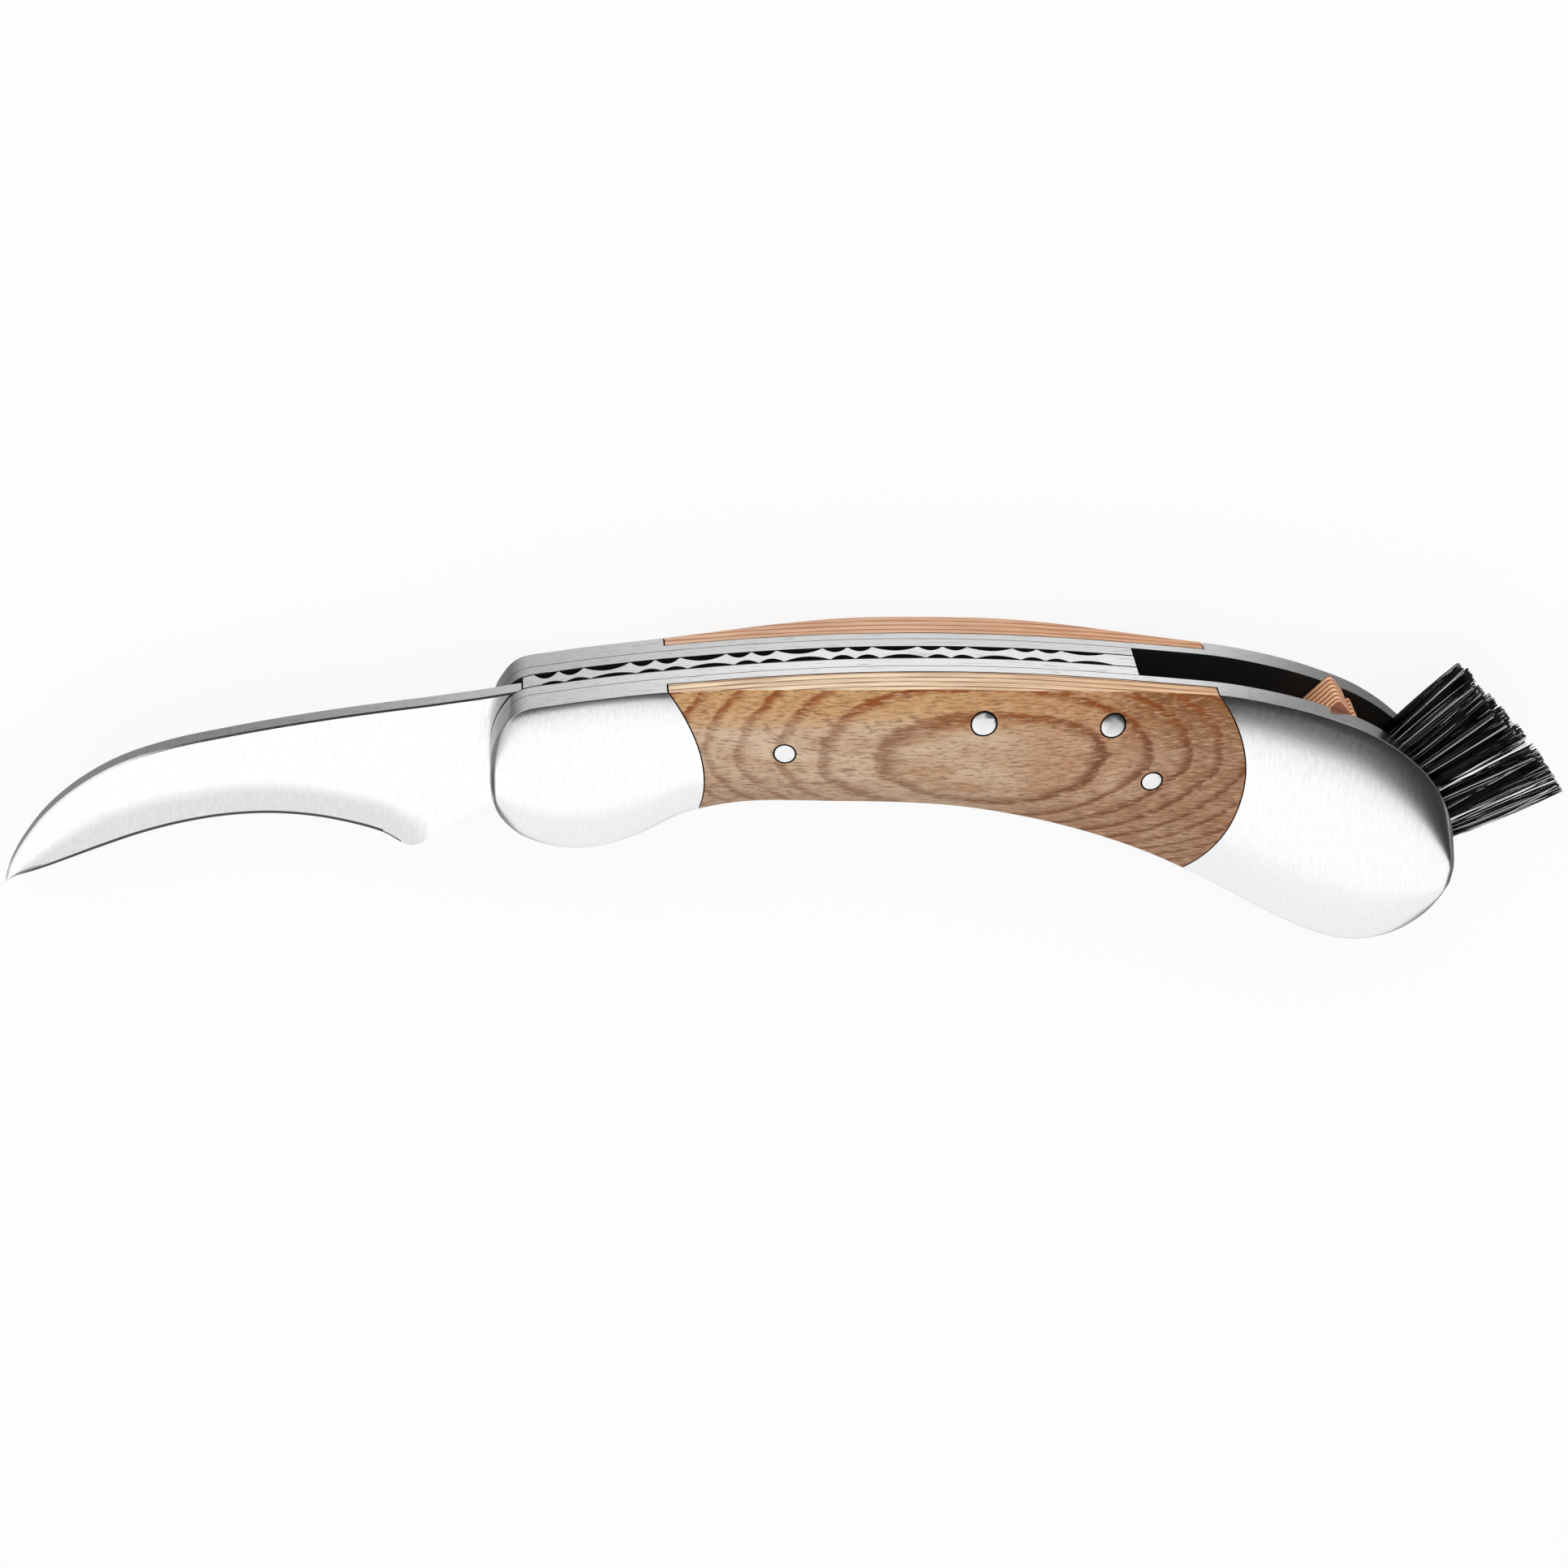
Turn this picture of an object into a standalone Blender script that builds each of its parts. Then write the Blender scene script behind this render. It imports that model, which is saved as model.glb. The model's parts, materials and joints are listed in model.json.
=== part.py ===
"""Folding mushroom knife with a hooked blade and a fold-out brush, lying on its side.

Lengths are in metres. X runs along the handle from the blade to the brush, Y runs from the
belly to the spine, and Z runs through the thickness. The sketch plane of every outline is XY,
with the blade's pivot at its origin. Right is the side that faces up, left the side it lies on.
"""

import math
import random

import bmesh
import bpy
from mathutils import Matrix, Vector

# Handle
HANDLE_LENGTH = 0.1264
HANDLE_DEPTH = 0.0415
PIVOT_SETBACK = 0.0103
EDGE_WOOD_THICKNESS = 0.00175
SWELL = 0.0022
SWELL_LAND = 0.0065
SWELL_REACH = 0.0380
CROWN = 0.0017
CROWN_DEPTH = 0.0104
SWELL_CENTRE_SHARE = 0.441

# Layers through the thickness
BLADE_THICKNESS = 0.0022
BLADE_SIDE_PLAY = 0.0001
LINER_THICKNESS = 0.00185
PLATE_THICKNESS = 0.0012
LAYER_CLEARANCE = 0.00005

# Seams between the wood and the bolsters, from the handle's front end and from its butt
JUNCTION_RADIUS = 0.0201
FRONT_JUNCTION_SETBACK = 0.0267
REAR_JUNCTION_SETBACK = 0.0304
JUNCTION_DROP = 0.0003

# Blade, measured from its pivot
BLADE_LENGTH = 0.0723
BLADE_DROP = 0.0203
TANG_RADIUS = 0.0072
SHOULDER_SETBACK = 0.00635
SHOULDER_RISE = 0.00945
GRIND_WIDTH = 0.0062
EDGE_LAND = 0.00024
GRIND_POWER = 1.5
TANG_END_ANGLE = math.radians(-130)

# Spring
SPRING_REAR_SETBACK = 0.04505
SPRING_END_GAP = 0.0002
SPRING_DEPTH = 0.0085
TANG_CLEARANCE = 0.0003

# Filework along both edges of the spring
FILE_LONG = 0.0053
FILE_SHORT = 0.0027
FILE_LAND = 0.00045
FILE_DEPTH = 0.0007
FILE_HEIGHT = 0.0011
FILE_START = 0.0014
FILE_SHIFT = 0.0008

# Pins
SCALE_PIN_DIAMETER = 0.0025
SPRING_PIN_DIAMETER = 0.0030
PIVOT_PIN_DIAMETER = 0.0045
PIVOT_PIN_SINK = 0.0016
PIN_CLEARANCE = 0.00005
FRONT_SCALE_PIN_INSET = 0.00983
FRONT_SCALE_PIN_DROP = 0.0085
REAR_SCALE_PIN_INSET = 0.01232
REAR_SCALE_PIN_DROP = 0.0125
MIDDLE_PIN_SHARE = 0.737
MIDDLE_PIN_DROP = 0.0042
REAR_PIN_SHARE = 0.9515
REAR_PIN_DROP = 0.0043

# Brush, measured from its own pivot: ahead is the way the bristles point
BRUSH_PIVOT_SETBACK = 0.0117
BRUSH_PIVOT_DROP = 0.0053
BRUSH_ANGLE = math.radians(40)
BRUSH_SIDE_PLAY = 0.0002
BLOCK_AHEAD = 0.0045
BLOCK_BEHIND = 0.0070
BLOCK_UP = 0.0161
BLOCK_DOWN = 0.0133
BLOCK_SLANT = math.radians(12)
BLOCK_CORNER = 0.0009
BLOCK_HEEL = 0.0030
NOTCH_WIDTH = 0.0015
NOTCH_DEPTH = 0.0018
NOTCH_PLACE = 0.0032
NOTCH_SLANT_SHARE = 0.7
TOOTH_WIDTH = 0.0008
RECESS_DEPTH = 0.0026
SLICE_THICKNESS = 0.0008
BRISTLE_MARGIN = 0.0118
BRISTLE_LENGTH = 0.0144
BRISTLE_GAIN = 0.0012
BRISTLE_SPACING = 0.00056
FAN_UP = math.radians(12)
FAN_DOWN = math.radians(14)
TIP_SHARE = 0.55
TIP_SPREAD = 0.0005
TIP_STRAY = 0.0001
STRAY_SEED = 7

CUT_OVERRUN = 0.0100
ROUND_SEGMENTS = 32
TANG_SEGMENTS = 16
HOOK_SEGMENTS = 8
CURVE_STEPS = 3
SHARP_ANGLE = math.radians(30)

# Places along the handle and across it, from the front end and the pivot's height, as shares of
# the handle's length and depth. Each spine point faces a belly point.
SPINE_SHARES = (
    (0.0000, 0.022), (0.0018, 0.090), (0.0115, 0.172), (0.0300, 0.237), (0.0660, 0.262),
    (0.1100, 0.284), (0.1580, 0.304), (0.2060, 0.320), (0.2690, 0.338), (0.3560, 0.354),
    (0.4410, 0.3586), (0.5220, 0.353), (0.6010, 0.338), (0.6800, 0.317), (0.7400, 0.296),
    (0.7990, 0.256), (0.8465, 0.209), (0.8910, 0.149), (0.9320, 0.062), (0.9640, -0.042),
    (0.9868, -0.170), (0.9988, -0.310),
)
BELLY_SHARES = (
    (0.0000, -0.022), (0.0030, -0.090), (0.0120, -0.158), (0.0330, -0.224), (0.0670, -0.264),
    (0.1050, -0.266), (0.1470, -0.221), (0.1980, -0.128), (0.2610, -0.073), (0.3480, -0.057),
    (0.4190, -0.060), (0.4830, -0.080), (0.5460, -0.124), (0.6090, -0.194), (0.6720, -0.284),
    (0.7360, -0.392), (0.7990, -0.506), (0.8540, -0.596), (0.9020, -0.641), (0.9460, -0.621),
    (0.9800, -0.540), (0.9972, -0.434),
)

# Places across the handle from belly to spine, and the stretch of it that is flat on top
ACROSS_SHARES = (0, 0.1, 0.2, 0.3, 0.38, 0.62, 0.7, 0.8, 0.9, 1)
FLAT_SHARES = (0.38, 0.62)

# Places on the blade ahead of its pivot, as shares of the blade's reach and drop
BACK_SHARES = (
    (1.0000, -0.985), (0.9860, -0.850), (0.9590, -0.672), (0.9160, -0.460), (0.8560, -0.256),
    (0.7810, -0.082), (0.6920, 0.042), (0.5950, 0.131), (0.4980, 0.207), (0.4080, 0.268),
    (0.3250, 0.318), (0.2490, 0.360), (0.2080, 0.385), (0.1660, 0.410), (0.1270, 0.437),
)
EDGE_SHARES = (
    (0.9965, -1.000), (0.9430, -0.934), (0.8850, -0.845), (0.8200, -0.742), (0.7520, -0.644),
    (0.6800, -0.565), (0.6060, -0.513), (0.5310, -0.495), (0.4560, -0.517), (0.3870, -0.574),
    (0.3320, -0.645), (0.2840, -0.739), (0.2400, -0.630), (0.1810, -0.463), (0.1380, -0.357),
)
GROUND_SHARES = (1, 1, 1, 1, 1, 1, 1, 1, 1, 1, 1, 0.75, 0, 0, 0)
GRIND_STEP_SHARES = (0, 0.3, 0.6, 0.85, 1)
SHORT_RUNG_SHARE = 0.6

# Lower side of the spring, from its front end back: place along it and depth below the spine
SPRING_SHARES = (
    (0.150, 0.50), (0.235, 0.52), (0.300, 0.42), (0.365, 0.34), (0.430, 0.38), (0.500, 0.62),
    (0.580, 0.84), (0.680, 0.96), (0.820, 0.98), (0.920, 0.96), (1.000, 0.91),
)

# One filed hollow: place along its length, and share of its depth. Below 0 it is outside the edge.
BITE_SHARES = ((0, -1), (0, 0), (0.22, 0.72), (0.5, 1), (0.78, 0.72), (1, 0), (1, -1))

BLADE_HALF = BLADE_THICKNESS / 2
SPRING_HALF = BLADE_HALF + BLADE_SIDE_PLAY
LINER_INSIDE = SPRING_HALF + LAYER_CLEARANCE
LINER_OUTSIDE = LINER_INSIDE + LINER_THICKNESS
PLATE_INSIDE = LINER_OUTSIDE + LAYER_CLEARANCE
PLATE_OUTSIDE = PLATE_INSIDE + PLATE_THICKNESS
SCALE_INSIDE = PLATE_OUTSIDE + LAYER_CLEARANCE
EDGE_HALF = PLATE_OUTSIDE + EDGE_WOOD_THICKNESS
CUT_OUTSIDE = EDGE_HALF + SWELL + CROWN + CUT_OVERRUN
BRUSH_HALF = PLATE_INSIDE - BRUSH_SIDE_PLAY
FRONT_END = -PIVOT_SETBACK
BUTT_END = FRONT_END + HANDLE_LENGTH
FRONT_JUNCTION = FRONT_END + FRONT_JUNCTION_SETBACK
REAR_JUNCTION = BUTT_END - REAR_JUNCTION_SETBACK
SPRING_FRONT = SPRING_END_GAP - SHOULDER_SETBACK
SPRING_REAR = BUTT_END - SPRING_REAR_SETBACK
SPRING_LENGTH = SPRING_REAR - SPRING_FRONT
SIDES = (("right", 1), ("left", -1))


def clear_scene():
    for obj in list(bpy.data.objects):
        bpy.data.objects.remove(obj, do_unlink=True)


def principled(name, colour, roughness, metallic):
    material = bpy.data.materials.new(name)
    material.use_nodes = True
    shader = material.node_tree.nodes["Principled BSDF"]
    shader.inputs["Base Color"].default_value = (*colour, 1)
    shader.inputs["Roughness"].default_value = roughness
    shader.inputs["Metallic"].default_value = metallic
    return material


def smooth_curve(points, steps):
    """Points of a Catmull-Rom curve through the given ones."""
    first, last = points[0] * 2 - points[1], points[-1] * 2 - points[-2]
    padded = [first, *points, last]
    curve = []
    for a, b, c, d in zip(padded, padded[1:], padded[2:], padded[3:]):
        for step in range(steps):
            t = step / steps
            curve.append(
                (b * 2 + (c - a) * t + (a * 2 - b * 5 + c * 4 - d) * t**2
                 + (b * 3 - a - c * 3 + d) * t**3) / 2
            )
    return [*curve, points[-1].copy()]


def handle_curve(shares):
    places = [Vector((FRONT_END + x * HANDLE_LENGTH, y * HANDLE_DEPTH)) for x, y in shares]
    return smooth_curve(places, CURVE_STEPS)


def height_at(curve, x):
    """Height of a curve, which runs along +X, at the place x."""
    for a, b in zip(curve, curve[1:]):
        if a.x <= x <= b.x and b.x > a.x:
            return a.y + (b.y - a.y) * (x - a.x) / (b.x - a.x)
    return curve[0].y if x < curve[0].x else curve[-1].y


def arc(centre, radius, start, end, segments):
    """Points along an arc from angle start to angle end."""
    turns = [start + (end - start) * step / segments for step in range(segments + 1)]
    return [centre + Vector((math.cos(t), math.sin(t))) * radius for t in turns]


def rounded(corners):
    """Outline with each (x, y, radius) corner rounded by a quarter-step curve."""
    outline = []
    count = len(corners)
    for index, (x, y, radius) in enumerate(corners):
        here = Vector((x, y))
        if not radius:
            outline.append(here)
            continue
        before = Vector(corners[index - 1][:2]) - here
        after = Vector(corners[(index + 1) % count][:2]) - here
        start, end = here + before.normalized() * radius, here + after.normalized() * radius
        for step in range(CURVE_STEPS + 1):
            t = step / CURVE_STEPS
            outline.append(start * (1 - t) ** 2 + here * 2 * t * (1 - t) + end * t**2)
    return outline


def add_object(name, mesh, material, parent):
    obj = bpy.data.objects.new(name, mesh)
    bpy.context.scene.collection.objects.link(obj)
    obj.parent = parent
    mesh.shade_smooth()
    mesh.set_sharp_from_angle(angle=SHARP_ANGLE)
    if material:
        mesh.materials.append(material)
    else:
        obj.hide_render = True
        obj.display_type = "WIRE"
    return obj


def mesh_from(name, vertices, faces):
    """Closed mesh with its faces turned outwards."""
    work = bmesh.new()
    made = [work.verts.new(v) for v in vertices]
    for face in faces:
        work.faces.new([made[index] for index in face])
    bmesh.ops.recalc_face_normals(work, faces=work.faces)
    mesh = bpy.data.meshes.new(name)
    work.to_mesh(mesh)
    work.free()
    return mesh


def prism_faces(count, first=0):
    """Faces between two like outlines of count points each, numbered from first."""
    faces = [list(range(count)), list(range(count, 2 * count))]
    faces += [(i, (i + 1) % count, (i + 1) % count + count, i + count) for i in range(count)]
    return [[first + index for index in face] for face in faces]


def add_prism(name, outline, low, high, material=None, parent=None):
    """Outline raised from height low to height high."""
    vertices = [(p.x, p.y, z) for z in (low, high) for p in outline]
    mesh = mesh_from(name, vertices, prism_faces(len(outline)))
    return add_object(name, mesh, material, parent)


def add_cylinder(name, centre, radius, low, high, material=None, parent=None):
    outline = arc(centre, radius, 0, math.tau, ROUND_SEGMENTS)[:-1]
    return add_prism(name, outline, low, high, material, parent)


def combine(target, other, operation):
    """Boolean of target with other, as a modifier that stays on the target."""
    modifier = target.modifiers.new(f"{operation.lower()} {other.name}", "BOOLEAN")
    modifier.operation = operation
    modifier.solver = "EXACT"
    modifier.object = other


def lofted(rungs, heights):
    """Closed shape from rungs of points, each point with the half thickness there."""
    across = len(rungs[0])
    top = [(p.x, p.y, z) for rung, row in zip(rungs, heights) for p, z in zip(rung, row)]
    bottom = [(x, y, -z) for x, y, z in top]
    half = len(top)
    faces = []
    for i in range(len(rungs) - 1):
        for j in range(across - 1):
            quad = (i * across + j, i * across + j + 1, (i + 1) * across + j + 1,
                    (i + 1) * across + j)
            faces += [quad, tuple(half + k for k in reversed(quad))]
    last = (len(rungs) - 1) * across
    rim = [i * across for i in range(len(rungs))] + [last + j for j in range(1, across)]
    rim += [i * across + across - 1 for i in reversed(range(len(rungs) - 1))]
    rim += list(reversed(range(1, across - 1)))
    for a, b in zip(rim, rim[1:] + rim[:1]):
        faces.append((a, b, half + b, half + a))
    return top + bottom, faces


def swell_at(x):
    """How much thicker the spine edge is at the place x."""
    centre = FRONT_END + SWELL_CENTRE_SHARE * HANDLE_LENGTH
    away = max(0, abs(x - centre) - SWELL_LAND) / (SWELL_REACH - SWELL_LAND)
    return SWELL * (1 + math.cos(math.pi * min(1, away))) / 2


def make_blank(parent):
    """Outer shape of the whole handle, which the frames, the wood and the pins are cut to."""
    rungs, heights = [], []
    for belly, spine in zip(handle_curve(BELLY_SHARES), handle_curve(SPINE_SHARES)):
        reach = min(1, (spine - belly).length / CROWN_DEPTH)
        row = []
        for share in ACROSS_SHARES:
            off = max(0, FLAT_SHARES[0] - share, share - FLAT_SHARES[1]) / FLAT_SHARES[0]
            swell = swell_at(belly.lerp(spine, share).x)
            row.append(EDGE_HALF + swell + CROWN * reach * (1 - off**2))
        rungs.append([belly.lerp(spine, share) for share in ACROSS_SHARES])
        heights.append(row)
    mesh = mesh_from("blank_shape", *lofted(rungs, heights))
    return add_object("blank_shape", mesh, None, parent)


def junction_outline(inset):
    """Outline of the wood seen from the side: an arc at each end, both bulging to the rear."""
    outline = []
    for junction, way in ((FRONT_JUNCTION, 1), (REAR_JUNCTION, -1)):
        radius = JUNCTION_RADIUS + way * inset
        centre = Vector((junction - JUNCTION_RADIUS, -JUNCTION_DROP))
        half_turn = math.pi / 2
        points = arc(centre, radius, half_turn * way, -half_turn * way, ROUND_SEGMENTS)
        outer = Vector((0, CUT_OVERRUN * way))
        outline += [points[0] + outer, *points, points[-1] - outer]
    return outline


def make_frames(blank, steel, parent):
    """Plates with their front and rear bolsters, each in one piece with a bed for the wood."""
    frames = {}
    outline = junction_outline(0)
    front, rear = FRONT_END - CUT_OVERRUN, BUTT_END + CUT_OVERRUN
    corners = [Vector((front, -HANDLE_DEPTH)), Vector((rear, -HANDLE_DEPTH)),
               Vector((rear, HANDLE_DEPTH)), Vector((front, HANDLE_DEPTH))]
    for side, way in SIDES:
        low, high = sorted((way * PLATE_INSIDE, way * CUT_OUTSIDE))
        frame = add_object(f"frame_{side}", blank.data.copy(), steel, parent)
        half = add_prism(f"half_{side}_cutter", corners, low, high, None, parent)
        combine(frame, half, "INTERSECT")
        low, high = sorted((way * PLATE_OUTSIDE, way * CUT_OUTSIDE))
        bed = add_prism(f"bed_{side}_cutter", outline, low, high, None, parent)
        combine(frame, bed, "DIFFERENCE")
        frames[side] = frame
    return frames


def make_scales(blank, wood, parent):
    """Wooden scales that fill the frames' beds."""
    scales = {}
    outline = junction_outline(LAYER_CLEARANCE)
    for side, way in SIDES:
        low, high = sorted((way * SCALE_INSIDE, way * CUT_OUTSIDE))
        scale = add_prism(f"scale_{side}", outline, low, high, wood, parent)
        combine(scale, blank, "INTERSECT")
        scales[side] = scale
    return scales


def make_liners(spine, belly, steel, parent):
    """Inner liners, which follow the frames from the front to the spring's rear end."""
    outline = [p for p in belly if p.x < SPRING_REAR]
    outline += [Vector((SPRING_REAR, height_at(belly, SPRING_REAR)))]
    outline += [Vector((SPRING_REAR, height_at(spine, SPRING_REAR)))]
    outline += [p for p in reversed(spine) if p.x < SPRING_REAR]
    liners = {}
    for side, way in SIDES:
        low, high = sorted((way * LINER_INSIDE, way * LINER_OUTSIDE))
        liners[side] = add_prism(f"inner_liner_{side}", outline, low, high, steel, parent)
    return liners


def make_spring(spine, steel, parent):
    """Back spring: its front hooks down over the tang, its top is flush with the spine."""
    hook_radius = TANG_RADIUS + TANG_CLEARANCE
    hook_start = math.acos(SPRING_FRONT / hook_radius)
    underside = []
    for along, depth in SPRING_SHARES:
        x = SPRING_FRONT + along * SPRING_LENGTH
        underside.append(Vector((x, height_at(spine, x) - depth * SPRING_DEPTH)))
    hook_end = math.atan2(underside[0].y, underside[0].x)
    outline = arc(Vector((0, 0)), hook_radius, hook_start, hook_end, HOOK_SEGMENTS)
    outline += smooth_curve(underside, CURVE_STEPS)
    outline += [Vector((SPRING_REAR, height_at(spine, SPRING_REAR)))]
    outline += [p for p in reversed(spine) if SPRING_FRONT < p.x < SPRING_REAR]
    outline += [Vector((SPRING_FRONT, height_at(spine, SPRING_FRONT)))]
    spring = add_prism("back_spring", outline, -SPRING_HALF, SPRING_HALF, steel, parent)
    combine(spring, make_filework_cutter(spine, parent), "DIFFERENCE")
    return spring


def make_filework_cutter(spine, parent):
    """Rows of filed hollows, one long and two short by turns, along both edges of the spring."""
    vertices, faces = [], []
    pattern = (FILE_SHORT, FILE_SHORT, FILE_LONG)
    for way in (1, -1):
        start = SPRING_FRONT + FILE_START + (FILE_SHIFT if way > 0 else 0)
        index = 0
        while start + FILE_LONG < SPRING_REAR - FILE_START:
            length = pattern[index % len(pattern)]
            faces += prism_faces(len(BITE_SHARES), len(vertices))
            vertices += file_hollow(spine, start, length, way)
            start += length + FILE_LAND
            index += 1
    mesh = mesh_from("filework_cutter", vertices, faces)
    return add_object("filework_cutter", mesh, None, parent)


def file_hollow(spine, start, length, way):
    """Points of one hollow, a curved bite into the spring's side whose floor follows the spine."""
    ends = [height_at(spine, start), height_at(spine, start + length)]
    vertices = []
    for level in (-FILE_HEIGHT, FILE_HEIGHT):
        for along, depth in BITE_SHARES:
            y = ends[0] + (ends[1] - ends[0]) * along + level
            z = way * (SPRING_HALF - FILE_DEPTH * depth)
            vertices.append((start + length * along, y, z))
    return vertices


def make_blade(steel, parent):
    """Hooked blade: flat sides, a hollow grind along the concave edge, and a round tang."""
    back = smooth_curve([Vector((-x * BLADE_LENGTH, y * BLADE_DROP)) for x, y in BACK_SHARES],
                        CURVE_STEPS)
    edge = smooth_curve([Vector((-x * BLADE_LENGTH, y * BLADE_DROP)) for x, y in EDGE_SHARES],
                        CURVE_STEPS)
    ground = [v.x for v in smooth_curve([Vector((g, 0)) for g in GROUND_SHARES], CURVE_STEPS)]
    back[-1] = Vector((-SHOULDER_SETBACK, SHOULDER_RISE))
    shoulder = math.acos(-SHOULDER_SETBACK / TANG_RADIUS)
    back += arc(Vector((0, 0)), TANG_RADIUS, shoulder, 0, TANG_SEGMENTS)[:-1]
    edge += arc(Vector((0, 0)), TANG_RADIUS, TANG_END_ANGLE, 0, TANG_SEGMENTS)[:-1]
    ground += [0] * TANG_SEGMENTS
    rungs, heights = [], []
    for low, high, share in zip(edge, back, ground):
        share = min(1, max(0, share))
        length = (high - low).length
        width = min(GRIND_WIDTH, SHORT_RUNG_SHARE * length)
        steps = [width * s / length for s in GRIND_STEP_SHARES] + [1]
        edge_half = BLADE_HALF + (EDGE_LAND / 2 - BLADE_HALF) * share
        rise = [min(1, s * length / width) ** GRIND_POWER for s in steps]
        rungs.append([low.lerp(high, s) for s in steps])
        heights.append([edge_half + (BLADE_HALF - edge_half) * r for r in rise])
    mesh = mesh_from("blade", *lofted(rungs, heights))
    return add_object("blade", mesh, steel, parent)


def ahead(forward, sideways):
    """Place on the brush: forward along the bristles, sideways from their upper edge down."""
    turn = Matrix.Rotation(BRUSH_ANGLE, 2)
    return turn @ Vector((forward, -sideways))


def make_block(wood, parent):
    """Wooden block: a notch, a tooth, a recess and the step for the slice with the bristles."""
    face = BLOCK_AHEAD - SLICE_THICKNESS - LAYER_CLEARANCE
    step = -BLOCK_UP + BRISTLE_MARGIN - LAYER_CLEARANCE
    notch = -BLOCK_UP + NOTCH_PLACE
    tooth = notch + NOTCH_WIDTH + TOOTH_WIDTH
    slanted = (BLOCK_AHEAD + BLOCK_BEHIND) * math.tan(BLOCK_SLANT)
    corners = [
        (BLOCK_AHEAD, -BLOCK_UP, BLOCK_CORNER),
        (BLOCK_AHEAD, notch, 0),
        (BLOCK_AHEAD - NOTCH_DEPTH, notch + NOTCH_WIDTH * NOTCH_SLANT_SHARE, 0),
        (BLOCK_AHEAD, notch + NOTCH_WIDTH, 0),
        (BLOCK_AHEAD, tooth, 0),
        (BLOCK_AHEAD - RECESS_DEPTH, tooth, 0),
        (BLOCK_AHEAD - RECESS_DEPTH, step, 0),
        (face, step, 0),
        (face, BLOCK_DOWN, 0),
        (0, BLOCK_DOWN - BLOCK_HEEL / 2, BLOCK_HEEL / 2),
        (-BLOCK_BEHIND, BLOCK_HEEL, BLOCK_HEEL),
        (-BLOCK_BEHIND, -BLOCK_UP + slanted, BLOCK_HEEL),
    ]
    outline = [ahead(p.x, p.y) for p in rounded(corners)]
    return add_prism("brush_block", outline, -BRUSH_HALF, BRUSH_HALF, wood, parent)


def make_bristles(hair, parent):
    """Three-sided strands that fan out from a slice of the block, all in one piece with it."""
    start, end = -BLOCK_UP + BRISTLE_MARGIN, BLOCK_DOWN
    columns = round((end - start) / BRISTLE_SPACING)
    rows = round(2 * BRUSH_HALF / BRISTLE_SPACING)
    stray = random.Random(STRAY_SEED)
    work = bmesh.new()

    def place(forward, sideways, z):
        flat = ahead(forward, sideways)
        return work.verts.new((flat.x, flat.y, z))

    def grid_point(column, row):
        return start + (end - start) * column / columns, BRUSH_HALF * (2 * row / rows - 1)

    roots = [[place(BLOCK_AHEAD, *grid_point(c, r)) for r in range(rows + 1)]
             for c in range(columns + 1)]
    back_face = BLOCK_AHEAD - SLICE_THICKNESS
    back = [place(back_face, *grid_point(c, r)) for c, r in ((0, 0), (columns, 0),
                                                             (columns, rows), (0, rows))]
    work.faces.new(back)
    work.faces.new([back[0], back[1], *[roots[c][0] for c in reversed(range(columns + 1))]])
    work.faces.new([back[2], back[3], *[roots[c][rows] for c in range(columns + 1)]])
    work.faces.new([back[1], back[2], *reversed(roots[columns])])
    work.faces.new([back[3], back[0], *roots[0]])
    for column in range(columns):
        for row in range(rows):
            a, b = roots[column][row], roots[column + 1][row]
            c, d = roots[column + 1][row + 1], roots[column][row + 1]
            work.faces.new((a, c, d))
            add_strand(work, (a, b, c), grid_point(column + 2 / 3, row + 1 / 3), stray)
    bmesh.ops.recalc_face_normals(work, faces=work.faces)
    mesh = bpy.data.meshes.new("bristles")
    work.to_mesh(mesh)
    work.free()
    return add_object("bristles", mesh, hair, parent)


def add_strand(work, root, centre, stray):
    """One strand on a triangle of the slice, leaning with the fan and a little of its own."""
    start, end = -BLOCK_UP + BRISTLE_MARGIN, BLOCK_DOWN
    share = (centre[0] - start) / (end - start)
    lean = -FAN_UP + (FAN_UP + FAN_DOWN) * share
    length = BRISTLE_LENGTH + BRISTLE_GAIN * share + TIP_SPREAD * (stray.random() - 0.5)
    shift = [TIP_STRAY * (2 * stray.random() - 1) for _ in range(2)]
    tip = ahead(BLOCK_AHEAD + length, centre[0] + length * math.tan(lean) + shift[0])
    centre_root = sum((v.co for v in root), Vector()) / 3
    tip = Vector((tip.x, tip.y, centre[1] * (1 - BRUSH_SIDE_PLAY / BRUSH_HALF) + shift[1]))
    ends = [work.verts.new(tip + (v.co - centre_root) * TIP_SHARE) for v in root]
    for i in range(3):
        j = (i + 1) % 3
        work.faces.new((root[i], root[j], ends[j], ends[i]))
    work.faces.new(ends)


def make_scale_pins(blank, frames, scales, spine, steel, parent):
    """Short pins that hold each wooden scale to its plate, dressed flush with the wood."""
    places = (("front", FRONT_JUNCTION + FRONT_SCALE_PIN_INSET, FRONT_SCALE_PIN_DROP),
              ("rear", REAR_JUNCTION - REAR_SCALE_PIN_INSET, REAR_SCALE_PIN_DROP))
    radius = SCALE_PIN_DIAMETER / 2
    for name, x, drop in places:
        centre = Vector((x, height_at(spine, x) - drop))
        for side, way in SIDES:
            low, high = sorted((way * PLATE_INSIDE, way * CUT_OUTSIDE))
            pin = add_cylinder(f"{name}_scale_pin_{side}", centre, radius, low, high, steel, parent)
            combine(pin, blank, "INTERSECT")
            low, high = sorted((way * LINER_INSIDE, way * CUT_OUTSIDE))
            hole = add_cylinder(f"{name}_scale_pin_{side}_cutter", centre, radius + PIN_CLEARANCE,
                                low, high, None, parent)
            combine(frames[side], hole, "DIFFERENCE")
            combine(scales[side], hole, "DIFFERENCE")


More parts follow.
